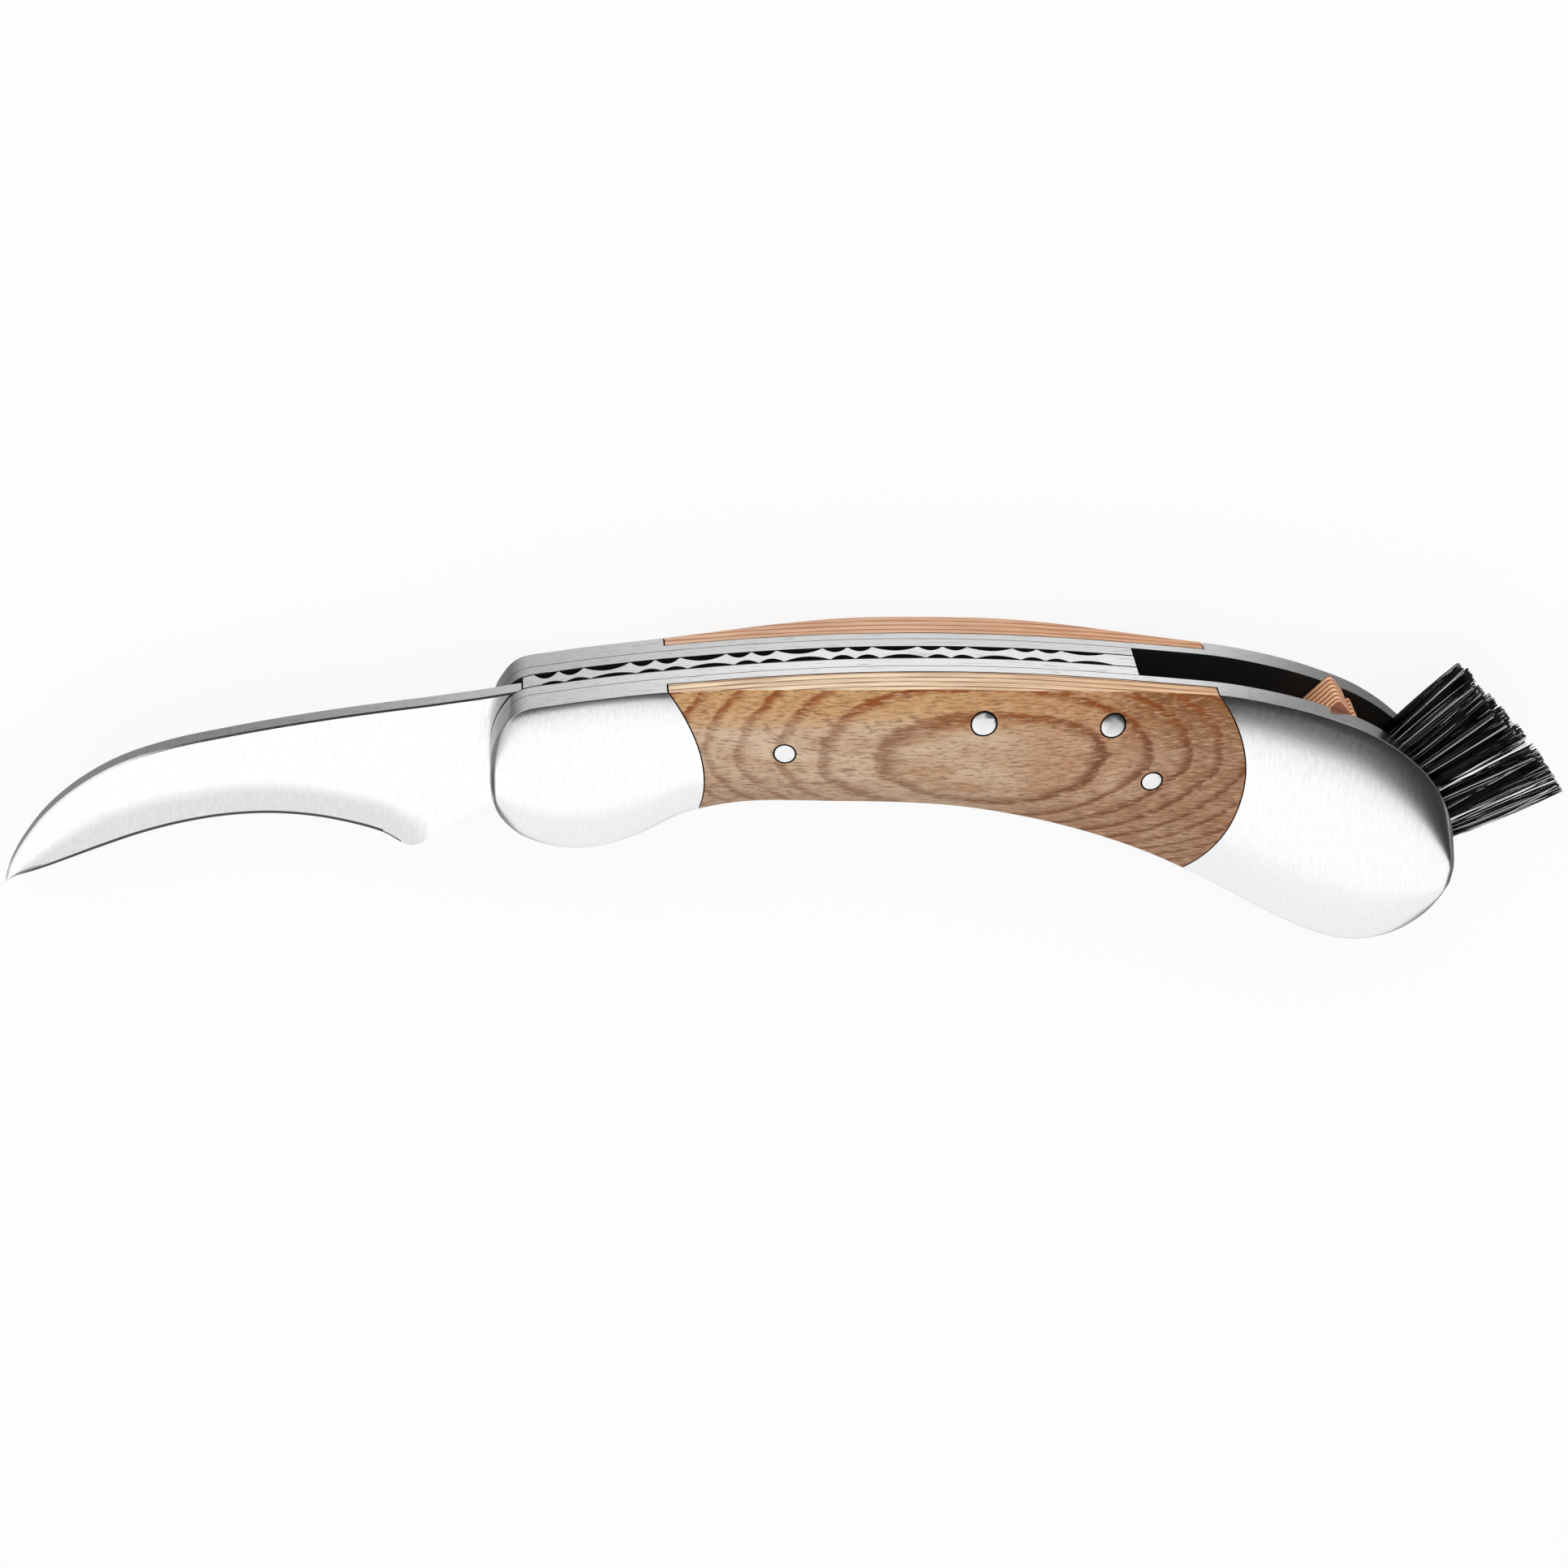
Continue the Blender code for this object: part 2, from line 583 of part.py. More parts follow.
def make_spring_pins(blank, layers, spine, steel, parent):
    """Through pins that rivet wood, frames, liners and spring together."""
    places = (("middle", MIDDLE_PIN_SHARE, MIDDLE_PIN_DROP), ("rear", REAR_PIN_SHARE, REAR_PIN_DROP))
    radius = SPRING_PIN_DIAMETER / 2
    for name, share, drop in places:
        x = SPRING_FRONT + share * SPRING_LENGTH
        centre = Vector((x, height_at(spine, x) - drop))
        pin = add_cylinder(f"spring_pin_{name}", centre, radius, -CUT_OUTSIDE, CUT_OUTSIDE,
                           steel, parent)
        combine(pin, blank, "INTERSECT")
        hole = add_cylinder(f"spring_pin_{name}_cutter", centre, radius + PIN_CLEARANCE,
                            -CUT_OUTSIDE, CUT_OUTSIDE, None, parent)
        for layer in layers:
            combine(layer, hole, "DIFFERENCE")


def make_pivot_pin(name, centre, steel, parent, layers):
    """Pivot pin whose ends sit in blind bores of the bolsters."""
    end = EDGE_HALF + CROWN - PIVOT_PIN_SINK
    radius = PIVOT_PIN_DIAMETER / 2
    add_cylinder(name, centre, radius, -end, end, steel, parent)
    depth = end + LAYER_CLEARANCE
    hole = add_cylinder(f"{name}_cutter", centre, radius + PIN_CLEARANCE, -depth, depth, None,
                        parent)
    for layer in layers:
        combine(layer, hole, "DIFFERENCE")


def visible_bounds():
    bpy.context.view_layer.update()
    graph = bpy.context.evaluated_depsgraph_get()
    points = []
    for obj in bpy.data.objects:
        if obj.type == "MESH" and not obj.hide_render:
            seen = obj.evaluated_get(graph)
            points += [seen.matrix_world @ v.co for v in seen.data.vertices]
    return [[pick(p[axis] for p in points) for axis in range(3)] for pick in (min, max)]


def add_empty(name, location, parent):
    empty = bpy.data.objects.new(name, None)
    bpy.context.scene.collection.objects.link(empty)
    empty.location = location
    empty.parent = parent
    return empty


def main():
    clear_scene()
    brushed = principled("satin_steel", (0.66, 0.66, 0.66), 0.32, 1.0)
    blade_steel = principled("blade_steel", (0.74, 0.74, 0.75), 0.25, 1.0)
    pin_steel = principled("pin_steel", (0.80, 0.80, 0.80), 0.20, 1.0)
    wood = principled("laminated_wood", (0.52, 0.31, 0.18), 0.45, 0.0)
    block_wood = principled("block_wood", (0.55, 0.25, 0.14), 0.50, 0.0)
    hair = principled("black_bristle", (0.02, 0.02, 0.02), 0.50, 0.0)

    root = add_empty("knife_origin", (0, 0, 0), None)
    blade_axis = add_empty("blade_axis", (0, 0, 0), root)
    brush_place = Vector((BUTT_END - BRUSH_PIVOT_SETBACK, -BRUSH_PIVOT_DROP))
    brush_axis = add_empty("brush_axis", (*brush_place, 0), root)

    spine, belly = handle_curve(SPINE_SHARES), handle_curve(BELLY_SHARES)
    blank = make_blank(root)
    frames = make_frames(blank, brushed, root)
    scales = make_scales(blank, wood, root)
    liners = make_liners(spine, belly, brushed, root)
    spring = make_spring(spine, brushed, root)
    blade = make_blade(blade_steel, blade_axis)
    block = make_block(block_wood, brush_axis)
    make_bristles(hair, brush_axis)

    make_scale_pins(blank, frames, scales, spine, pin_steel, root)
    riveted = [*frames.values(), *scales.values(), *liners.values(), spring]
    make_spring_pins(blank, riveted, spine, pin_steel, root)
    make_pivot_pin("blade_pivot_pin", Vector((0, 0)), pin_steel, root,
                   [*frames.values(), *liners.values(), blade])
    make_pivot_pin("brush_pivot_pin", brush_place, pin_steel, root, [*frames.values(), block])

    low, high = visible_bounds()
    root.location = (-(low[0] + high[0]) / 2, -(low[1] + high[1]) / 2, -low[2])
    bpy.context.view_layer.update()
    print("blade axis at", [round(v, 6) for v in blade_axis.matrix_world.translation])
    print("brush axis at", [round(v, 6) for v in brush_axis.matrix_world.translation])
    print("size", [round(b - a, 6) for a, b in zip(low, high)])


main()
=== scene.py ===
"""A folding mushroom knife on a pale studio floor: hooked blade, laminated handle and fold-out brush.

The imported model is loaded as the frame. The pieces that show are modelled again round it with rounded
rims, fine curves and loose hair, and every piece gets the finish of the material it is made of.
Lengths are in metres. X runs from the blade to the brush, Y from the belly to the spine, and Z up
through the handle's thickness. Places on the handle are measured from the blade's pivot.
"""

from __future__ import annotations

import json
import logging
import math
import random
from dataclasses import dataclass, replace
from enum import Enum
from functools import partial
from typing import Callable, Sequence

import bmesh
import bpy
from mathutils import Matrix, Vector


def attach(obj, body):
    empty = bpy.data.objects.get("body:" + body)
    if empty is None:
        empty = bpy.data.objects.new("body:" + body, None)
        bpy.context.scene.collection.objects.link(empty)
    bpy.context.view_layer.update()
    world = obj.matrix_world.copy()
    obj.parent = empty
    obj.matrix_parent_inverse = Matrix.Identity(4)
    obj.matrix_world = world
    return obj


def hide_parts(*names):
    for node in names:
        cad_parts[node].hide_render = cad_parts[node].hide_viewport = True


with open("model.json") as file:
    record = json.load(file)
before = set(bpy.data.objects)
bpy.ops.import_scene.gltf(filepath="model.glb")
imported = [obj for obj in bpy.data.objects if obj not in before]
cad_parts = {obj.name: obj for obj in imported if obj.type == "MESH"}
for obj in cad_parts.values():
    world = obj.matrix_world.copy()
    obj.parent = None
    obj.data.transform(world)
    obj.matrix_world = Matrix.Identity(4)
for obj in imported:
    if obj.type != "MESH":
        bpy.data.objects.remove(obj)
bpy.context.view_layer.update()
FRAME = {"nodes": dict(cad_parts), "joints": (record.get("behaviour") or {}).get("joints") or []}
LOG = logging.getLogger("mushroom_knife")
MM = 0.001
TOUCH = 0.01 * MM
SMOOTH = {"interpolation_type": "SMOOTHSTEP"}

Solid = bpy.types.Object
Material = bpy.types.Material
Socket = bpy.types.NodeSocket
Fed = Socket | float | tuple | str | None


class Side(Enum):
    """The two sides of the handle: right faces up, left lies on the floor."""

    RIGHT = 1
    LEFT = -1


Sides = dict[Side, Material]


class Brushing(Enum):
    """Which way a steel surface was brushed, as the scale of its marks along X, Y and Z, per metre.

    Real marks are some 0.05 mm wide. They are drawn 0.27 mm wide, so that they show.
    """

    ALONG = (180, 3800, 3800)
    ACROSS = (3600, 420, 3600)


def hex_colour(code: str) -> tuple[float, float, float, float]:
    """Turns an sRGB hex code into the linear colour that a shader reads.

    Args:
        code: the colour, such as "#c09a80".

    Returns:
        Red, green, blue and alpha.
    """
    channels = [int(code[place : place + 2], 16) / 255 for place in (1, 3, 5)]
    linear = [c / 12.92 if c <= 0.04045 else ((c + 0.055) / 1.055) ** 2.4 for c in channels]
    return (*linear, 1.0)


def plug(socket: Socket, fed: Fed) -> None:
    """Feeds one socket.

    Args:
        socket: the socket.
        fed: another node's output, a hex colour or a value, or None to leave it.
    """
    if isinstance(fed, Socket):
        socket.id_data.links.new(fed, socket)
    elif fed is not None:
        socket.default_value = hex_colour(fed) if isinstance(fed, str) else fed


def add_node(
    tree: bpy.types.NodeTree, kind: str, *fed: Fed, out: int | str = 0, **settings: object
) -> Socket:
    """Adds one node with its settings and links.

    Args:
        tree: the node tree.
        kind: the node's type, without ShaderNode before it.
        *fed: what its sockets are fed with, in their order.
        out: number or name of the output that is wanted.
        **settings: properties of the node itself.

    Returns:
        That output.
    """
    node = tree.nodes.new("ShaderNode" + kind)
    for name, value in settings.items():
        setattr(node, name, value)
    for socket, value in zip(node.inputs, fed):
        plug(socket, value)
    return node.outputs[out]


class Finish:
    """One material in the making, with the places and directions that its patterns follow."""

    def __init__(self, name: str) -> None:
        """Makes an empty Principled material.

        Args:
            name: the material's name.
        """
        self.material = bpy.data.materials.new(name)
        self.material.use_nodes = True
        self.tree = self.material.node_tree
        self.shader = self.tree.nodes["Principled BSDF"]
        self.add = partial(add_node, self.tree)
        self.place = self.add("TexCoord", out="Object")
        self.along, _, self.height = self.add("SeparateXYZ", self.place).node.outputs
        normal = self.add("NewGeometry", out="Normal")
        self.rearward, self.spineward, rising = self.add("SeparateXYZ", normal).node.outputs
        self.upward = self.add("Math", rising, operation="ABSOLUTE")

    def streaks(self, scale: tuple[float, float, float], detail: float) -> Socket:
        """Returns noise that is drawn out by a scale per metre along X, Y and Z."""
        drawn = self.add("Mapping", self.place, None, None, scale)
        return self.add("TexNoise", drawn, None, 1.0, detail)

    def plies(self, ply: float, sway: float, waves: float, detail: float) -> Socket:
        """Stacks wavy plies through the thickness.

        Args:
            ply: thickness of one ply.
            sway: how far the plies wander, in plies.
            waves: scale of their waves per metre.
            detail: detail of their waves.

        Returns:
            How far up its own ply each place lies, from 0 to 1.
        """
        wave = self.streaks((waves, waves, waves), detail)
        level = self.add("Math", wave, sway * ply, self.height, operation="MULTIPLY_ADD")
        return self.add("Math", self.add("Math", level, ply, operation="DIVIDE"), operation="FRACT")

    def done(self, sockets: dict[str, Fed]) -> Material:
        """Feeds the shader.

        Args:
            sockets: what its sockets are fed with, by name.

        Returns:
            The material.
        """
        for name, fed in sockets.items():
            plug(self.shader.inputs[name], fed)
        return self.material


@dataclass(frozen=True)
class SatinSteel:
    """Stainless steel, ground and belt-brushed: a soft grey gloss that is drawn out along the marks.

    Attributes:
        name: the material's name.
        colour: reflected colour as sRGB hex.
        roughness: mean roughness of the satin.
        middle: height of the knife's middle plane.
        shade_within: faces nearer than this to the middle plane, inside the handle, are painted black and
            matt: painted shade.
        marks: how strongly the brush marks show.
        ends: how much darker the faces that look along X, at the two ends, are painted: painted shade.
        grind_shade_within: flat faces nearer than this to the middle plane, on the hollow grind, are
            painted
        darker as painted shade, broken by the grind's coarser wheel marks.
    """

    name: str
    colour: str
    roughness: float
    middle: float = 10 * MM
    shade_within: float = 0.0
    marks: float = 1.0
    ends: float = 0.0
    grind_shade_within: float = 0.0

    def build(self) -> Material:
        """Makes the material.

        Returns:
            The material, whose marks run along the upright faces and across the flat ones.
        """
        finish = Finish(self.name)
        add = finish.add
        flat = add("MapRange", finish.upward, 0.5, 0.8, **SMOOTH)
        upright = add("MapRange", finish.upward, 0.4, 0.1, **SMOOTH)
        along, across = (finish.streaks(way.value, 3) for way in Brushing)
        brushed = add("MixRGB", flat, along, across)
        worn = add("MapRange", brushed, 0.3, 0.7, **SMOOTH)
        tint = add("MixRGB", worn, self.dimmed(1 - 0.015 * self.marks), self.dimmed(1.0))
        scratch = add("MapRange", along, 0.56, 0.68, 0.0, 0.5, **SMOOTH)
        scratch = add("Math", scratch, upright, operation="MULTIPLY")
        tint = add("MixRGB", scratch, tint, self.dimmed(0.7))
        # Faces that look along X are painted darker: painted shade on the ends.
        if self.ends:
            end_shade = add("Math", finish.rearward, operation="ABSOLUTE")
            end_shade = add("MapRange", end_shade, 0.25, 0.85, 0.0, self.ends, **SMOOTH)
            tint = add("MixRGB", end_shade, tint, self.dimmed(0.3))
        away = add("Math", finish.height, self.middle, operation="SUBTRACT")
        away = add("Math", away, operation="ABSOLUTE")
        # The hollow grind is painted darker, broken by wheel marks: painted shade.
        if self.grind_shade_within:
            ground = add("MapRange", away, self.grind_shade_within, 0.75 * self.grind_shade_within, **SMOOTH)
            wheel = add("MapRange", across, 0.3, 0.7, 1.0, 0.6, **SMOOTH)
            ground = add("Math", ground, wheel, operation="MULTIPLY")
            ground = add("Math", ground, flat, operation="MULTIPLY")
            tint = add("MixRGB", ground, tint, self.dimmed(0.91))
        rougher, glossier = self.roughness + 0.02 * self.marks, self.roughness - 0.02 * self.marks
        rough = add("MapRange", brushed, 0.3, 0.7, rougher, glossier, **SMOOTH)
        metal = 1.0
        # Faces inside the handle are painted black and matt: painted shade.
        if self.shade_within:
            metal = add("Math", away, self.shade_within, operation="GREATER_THAN")
            tint = add("MixRGB", metal, "#161616", tint)
            rough = add("MixRGB", metal, "#dcdcdc", rough)
        bump = add("Bump", 0.018 * self.marks, 0.02 * MM, None, brushed)
        return finish.done({"Base Color": tint, "Roughness": rough, "Metallic": metal, "Normal": bump})

    def dimmed(self, share: float) -> str:
        """Returns the steel's colour, darkened to a share of its code."""
        channels = [round(int(self.colour[place : place + 2], 16) * share) for place in (1, 3, 5)]
        return "#" + "".join(f"{channel:02x}" for channel in channels)


@dataclass(frozen=True)
class LaminatedWood:
    """Resin-bonded laminated hardwood, sawn across its plies, sanded and oiled.

    It gives stripes where the plies are cut edge on, and long rings with a soft inner and a crisp
    outer edge on the crown, under a low gloss with open pores.

    Attributes:
        name: the material's name.
        eye: place of the innermost ring on the knife.
        ring: half length and half width of the first ply's ring.
        lean: turn of the rings' long axis.
        cream: colour of the plies seen edge on.
        glue: colour of the lines between them.
        ply: thickness of one ply, drawn twice as thick as the real half millimetre, so that it shows.
    """

    name: str
    eye: tuple[float, float]
    ring: tuple[float, float]
    lean: float
    cream: str = "#fae1bf"
    glue: str = "#7a3e10"
    ply: float = 1.0 * MM

    def build(self) -> Material:
        """Makes the material. Its fibres are drawn 0.26 mm wide, coarser than real, so that they show.

        Returns:
            The material.
        """
        finish = Finish(self.name)
        fibre = finish.streaks((640, 3900, 3900), 4)
        flat = finish.add("MapRange", finish.upward, 0.62, 0.76, **SMOOTH)
        colour = finish.add("MixRGB", flat, self.edge(finish), self.face(finish, fibre))
        bump = finish.add("Bump", 0.25, 0.03 * MM, None, fibre)
        return finish.done(
            {"Base Color": colour, "Roughness": 0.45, "Specular IOR Level": 0.3, "Normal": bump}
        )

    def face(self, finish: Finish, fibre: Socket) -> Socket:
        """Colours the crown, where each ply comes out as a long ring.

        Args:
            finish: the material.
            fibre: its fibres.

        Returns:
            The colour.
        """
        add = finish.add
        turned = ((*self.eye, 0), (0, 0, self.lean), (*self.ring, 1))
        centred = add("Mapping", finish.place, *turned, vector_type="TEXTURE")
        level = add("VectorMath", centred, (1, 1, 0), operation="MULTIPLY")
        reach = add("VectorMath", level, operation="LENGTH", out="Value")
        drift = add("MapRange", finish.streaks((45, 100, 40), 2), 0.2, 0.8, -0.26, 0.26, **SMOOTH)
        shiver = add("MapRange", finish.streaks((300, 1500, 300), 3), 0.2, 0.8, -0.07, 0.07, **SMOOTH)
        level = add("Math", reach, reach, drift, operation="MULTIPLY_ADD")
        turn = add("Math", add("Math", level, shiver, operation="ADD"), operation="FRACT")
        inner = add("MapRange", turn, 0.52, 0.82, **SMOOTH)
        outer = add("MapRange", turn, 0.88, 1.0, 1.0, 0.0, **SMOOTH)
        band = add("Math", inner, outer, operation="MULTIPLY")
        along, across, _ = add("SeparateXYZ", centred).node.outputs
        cloud = finish.streaks((110, 330, 100), 4)
        rim = add("MapRange", finish.spineward, 0.02, 0.36, **SMOOTH)

        # The wood is darker towards the rear, the belly and the spine's rear half.
        rear = add("MapRange", along, 0.6, 2.0, **SMOOTH)
        belly = add("MapRange", across, -0.2, -1.3, 0.0, 0.8, **SMOOTH)
        spine = add("Math", rim, add("MapRange", along, 0.7, 1.3, **SMOOTH), operation="MULTIPLY")
        dusk = add("Math", rear, belly, operation="MAXIMUM")
        dusk = add("Math", dusk, spine, operation="MAXIMUM")
        rust = add("MapRange", along, 0.9, 1.6, 0.0, 0.6, **SMOOTH)
        early = add("MixRGB", add("MapRange", cloud, 0.35, 0.65, **SMOOTH), "#d6bb9e", "#bd9573")
        for share, colour in (
            (add("MapRange", along, -0.4, -1.2, 0.0, 0.35, **SMOOTH), "#dcc3aa"),
            (rim, "#c99a68"),
            (add("MapRange", along, -0.6, 0.9, 0.0, 0.45, **SMOOTH), "#b47c56"),
            (add("Math", dusk, 0.55, operation="MULTIPLY"), "#85542f"),
            (add("Math", rim, rust, operation="MULTIPLY"), "#7c4418"),
        ):
            early = add("MixRGB", share, early, colour)

        # The rings are strongest at the spine and the rear, and broken by clouds.
        depth = add("MapRange", along, -1.8, 0.7, 0.5, 1.0, **SMOOTH)
        depth = add("Math", depth, rim, operation="MAXIMUM")
        clear = add("MapRange", cloud, 0.28, 0.6, 0.8, 1.0, **SMOOTH)
        depth = add("Math", depth, clear, operation="MULTIPLY")
        band = add("Math", band, depth, operation="MULTIPLY")
        face = add("MixRGB", band, early, add("MixRGB", rim, "#7c4726", "#934a0e"))
        pores = finish.streaks((800, 4200, 4200), 2)
        for pattern, start, full, share, colour in (
            (fibre, 0.50, 0.70, 0.62, "#74492f"),
            (fibre, 0.50, 0.28, 0.5, "#dfbf9e"),
            (pores, 0.59, 0.68, 0.5, "#5c3d28"),
        ):
            face = add("MixRGB", add("MapRange", pattern, start, full, 0.0, share, **SMOOTH), face, colour)
        return face

    def edge(self, finish: Finish) -> Socket:
        """Colours the plies seen edge on: cream, parted by thin brown glue lines.

        Args:
            finish: the material.

        Returns:
            The colour.
        """
        add = finish.add
        turn = finish.plies(self.ply, 0.8, 22, 1)
        worn = add("MapRange", finish.streaks((150, 150, 1400), 2), 0.3, 0.55, 0.5, 1.0, **SMOOTH)
        line = add("MapRange", turn, 0.0, 0.42, 1.0, 0.0, **SMOOTH)
        line = add("Math", line, worn, operation="MULTIPLY")
        warm = add("MapRange", finish.along, 0.005, 0.045, 0.0, 0.45, **SMOOTH)
        streak = finish.streaks((130, 130, 4200), 3)
        streak = add("MapRange", streak, 0.42, 0.62, 0.0, 0.35, **SMOOTH)
        edge = add("MixRGB", warm, self.cream, "#e09a62")
        edge = add("MixRGB", streak, edge, self.glue)
        return add("MixRGB", line, edge, self.glue)


@dataclass(frozen=True)
class BlockWood:
    """Redder laminated hardwood, sawn and left dry: matt stripes, cream and rust by turns.

    Its grain is drawn 0.25 mm wide, coarser than real, so that it shows.

    Attributes:
        name: the material's name.
        ply: thickness of one ply, drawn thicker than real, so that it shows.
    """

    name: str
    ply: float = 0.88 * MM

    def build(self) -> Material:
        """Makes the material.

        Returns:
            The material, with its plies stacked through the thickness.
        """
        finish = Finish(self.name)
        add = finish.add
        turn = finish.plies(self.ply, 1.0, 90, 2)
        start = add("MapRange", turn, 0.35, 0.6, **SMOOTH)
        end = add("MapRange", turn, 0.8, 1.0, 1.0, 0.0, **SMOOTH)
        dark = add("Math", start, end, operation="MULTIPLY")
        flat = add("MapRange", finish.upward, 0.6, 0.8, 0.0, 0.85, **SMOOTH)
        stripes = add("MixRGB", flat, add("MixRGB", dark, "#fbcba2", "#a85a36"), "#8a4032")
        grain = finish.streaks((500, 500, 4000), 3)
        speck = add("MapRange", grain, 0.45, 0.75, 0.0, 0.5, **SMOOTH)
        colour = add("MixRGB", speck, stripes, "#b86c48")
        bump = add("Bump", 0.2, 0.03 * MM, None, grain)
        return finish.done(
            {"Base Color": colour, "Roughness": 0.5, "Specular IOR Level": 0.3, "Normal": bump}
        )


@dataclass(frozen=True)
class BristleHair:
    """Stiff black nylon hair, drawn smooth: a wet gloss along each strand, and a few grey and nearly white
    strands, which are painted highlights.

    Attributes:
        name: the material's name.
        shade: name of the attribute that holds how pale each strand is.
    """

    name: str
    shade: str = "shade"

    def build(self) -> Material:
        """Makes the material.

        Returns:
            The material, which reads each strand's own paleness.
        """
        finish = Finish(self.name)
        pale = finish.add("Attribute", out="Fac", attribute_name=self.shade)
        # Grey and nearly white strands are painted highlights.
        colour = finish.add("MixRGB", pale, "#050505", "#f0f0f0")
        return finish.done({"Base Color": colour, "Roughness": 0.3, "Specular IOR Level": 0.4})


def smooth_curve(points: Sequence[Vector], steps: int) -> list[Vector]:
    """Puts a Catmull-Rom curve through points.

    Args:
        points: the points that the curve passes.
        steps: how many steps it takes from each point to the next.

    Returns:
        The curve's points.
    """
    padded = [points[0] * 2 - points[1], *points, points[-1] * 2 - points[-2]]
    curve = []
    for a, b, c, d in zip(padded, padded[1:], padded[2:], padded[3:]):
        bend, twist = a * 2 - b * 5 + c * 4 - d, b * 3 - a - c * 3 + d
        for t in (step / steps for step in range(steps)):
            curve.append((b * 2 + (c - a) * t + bend * t**2 + twist * t**3) / 2)
    return [*curve, points[-1].copy()]


def height_at(curve: Sequence[Vector], x: float) -> float:
    """Finds the height of a curve at a place.

    Args:
        curve: the curve, which runs along +X.
        x: the place.

    Returns:
        The height there, or that of the nearer end.
    """
    for a, b in zip(curve, curve[1:]):
        if a.x <= x <= b.x and b.x > a.x:
            return a.y + (b.y - a.y) * (x - a.x) / (b.x - a.x)
    return curve[0].y if x < curve[0].x else curve[-1].y


def arc(centre: Vector, radius: float, start: float, end: float, segments: int) -> list[Vector]:
    """Returns the points of an arc from the angle start to the angle end."""
    turns = [start + (end - start) * step / segments for step in range(segments + 1)]
    return [centre + Vector((math.cos(t), math.sin(t))) * radius for t in turns]


def circle(centre: Vector, radius: float, segments: int = 64) -> list[Vector]:
    """Returns the points of a full circle."""
    return arc(centre, radius, 0, math.tau, segments)[:-1]


def dress(obj: Solid, *materials: Material) -> None:
    """Gives an object its materials.

    Args:
        obj: the object.
        *materials: its materials, of which the first one goes all over.
    """
    obj.data.materials.clear()
    for material in materials:
        obj.data.materials.append(material)


def hand_over(obj: Solid, body: str, slot: str, *nodes: str) -> None:
    """Rides a finished piece on its body.

    Args:
        obj: the piece.
        body: the body that it moves with.
        slot: the record's material slot of the piece; not used.
        *nodes: the nodes that it stands for.
    """
    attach(obj, body)
    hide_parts(*nodes)
    LOG.info("%s: %d faces, on %s", obj.name, len(obj.data.polygons), body)


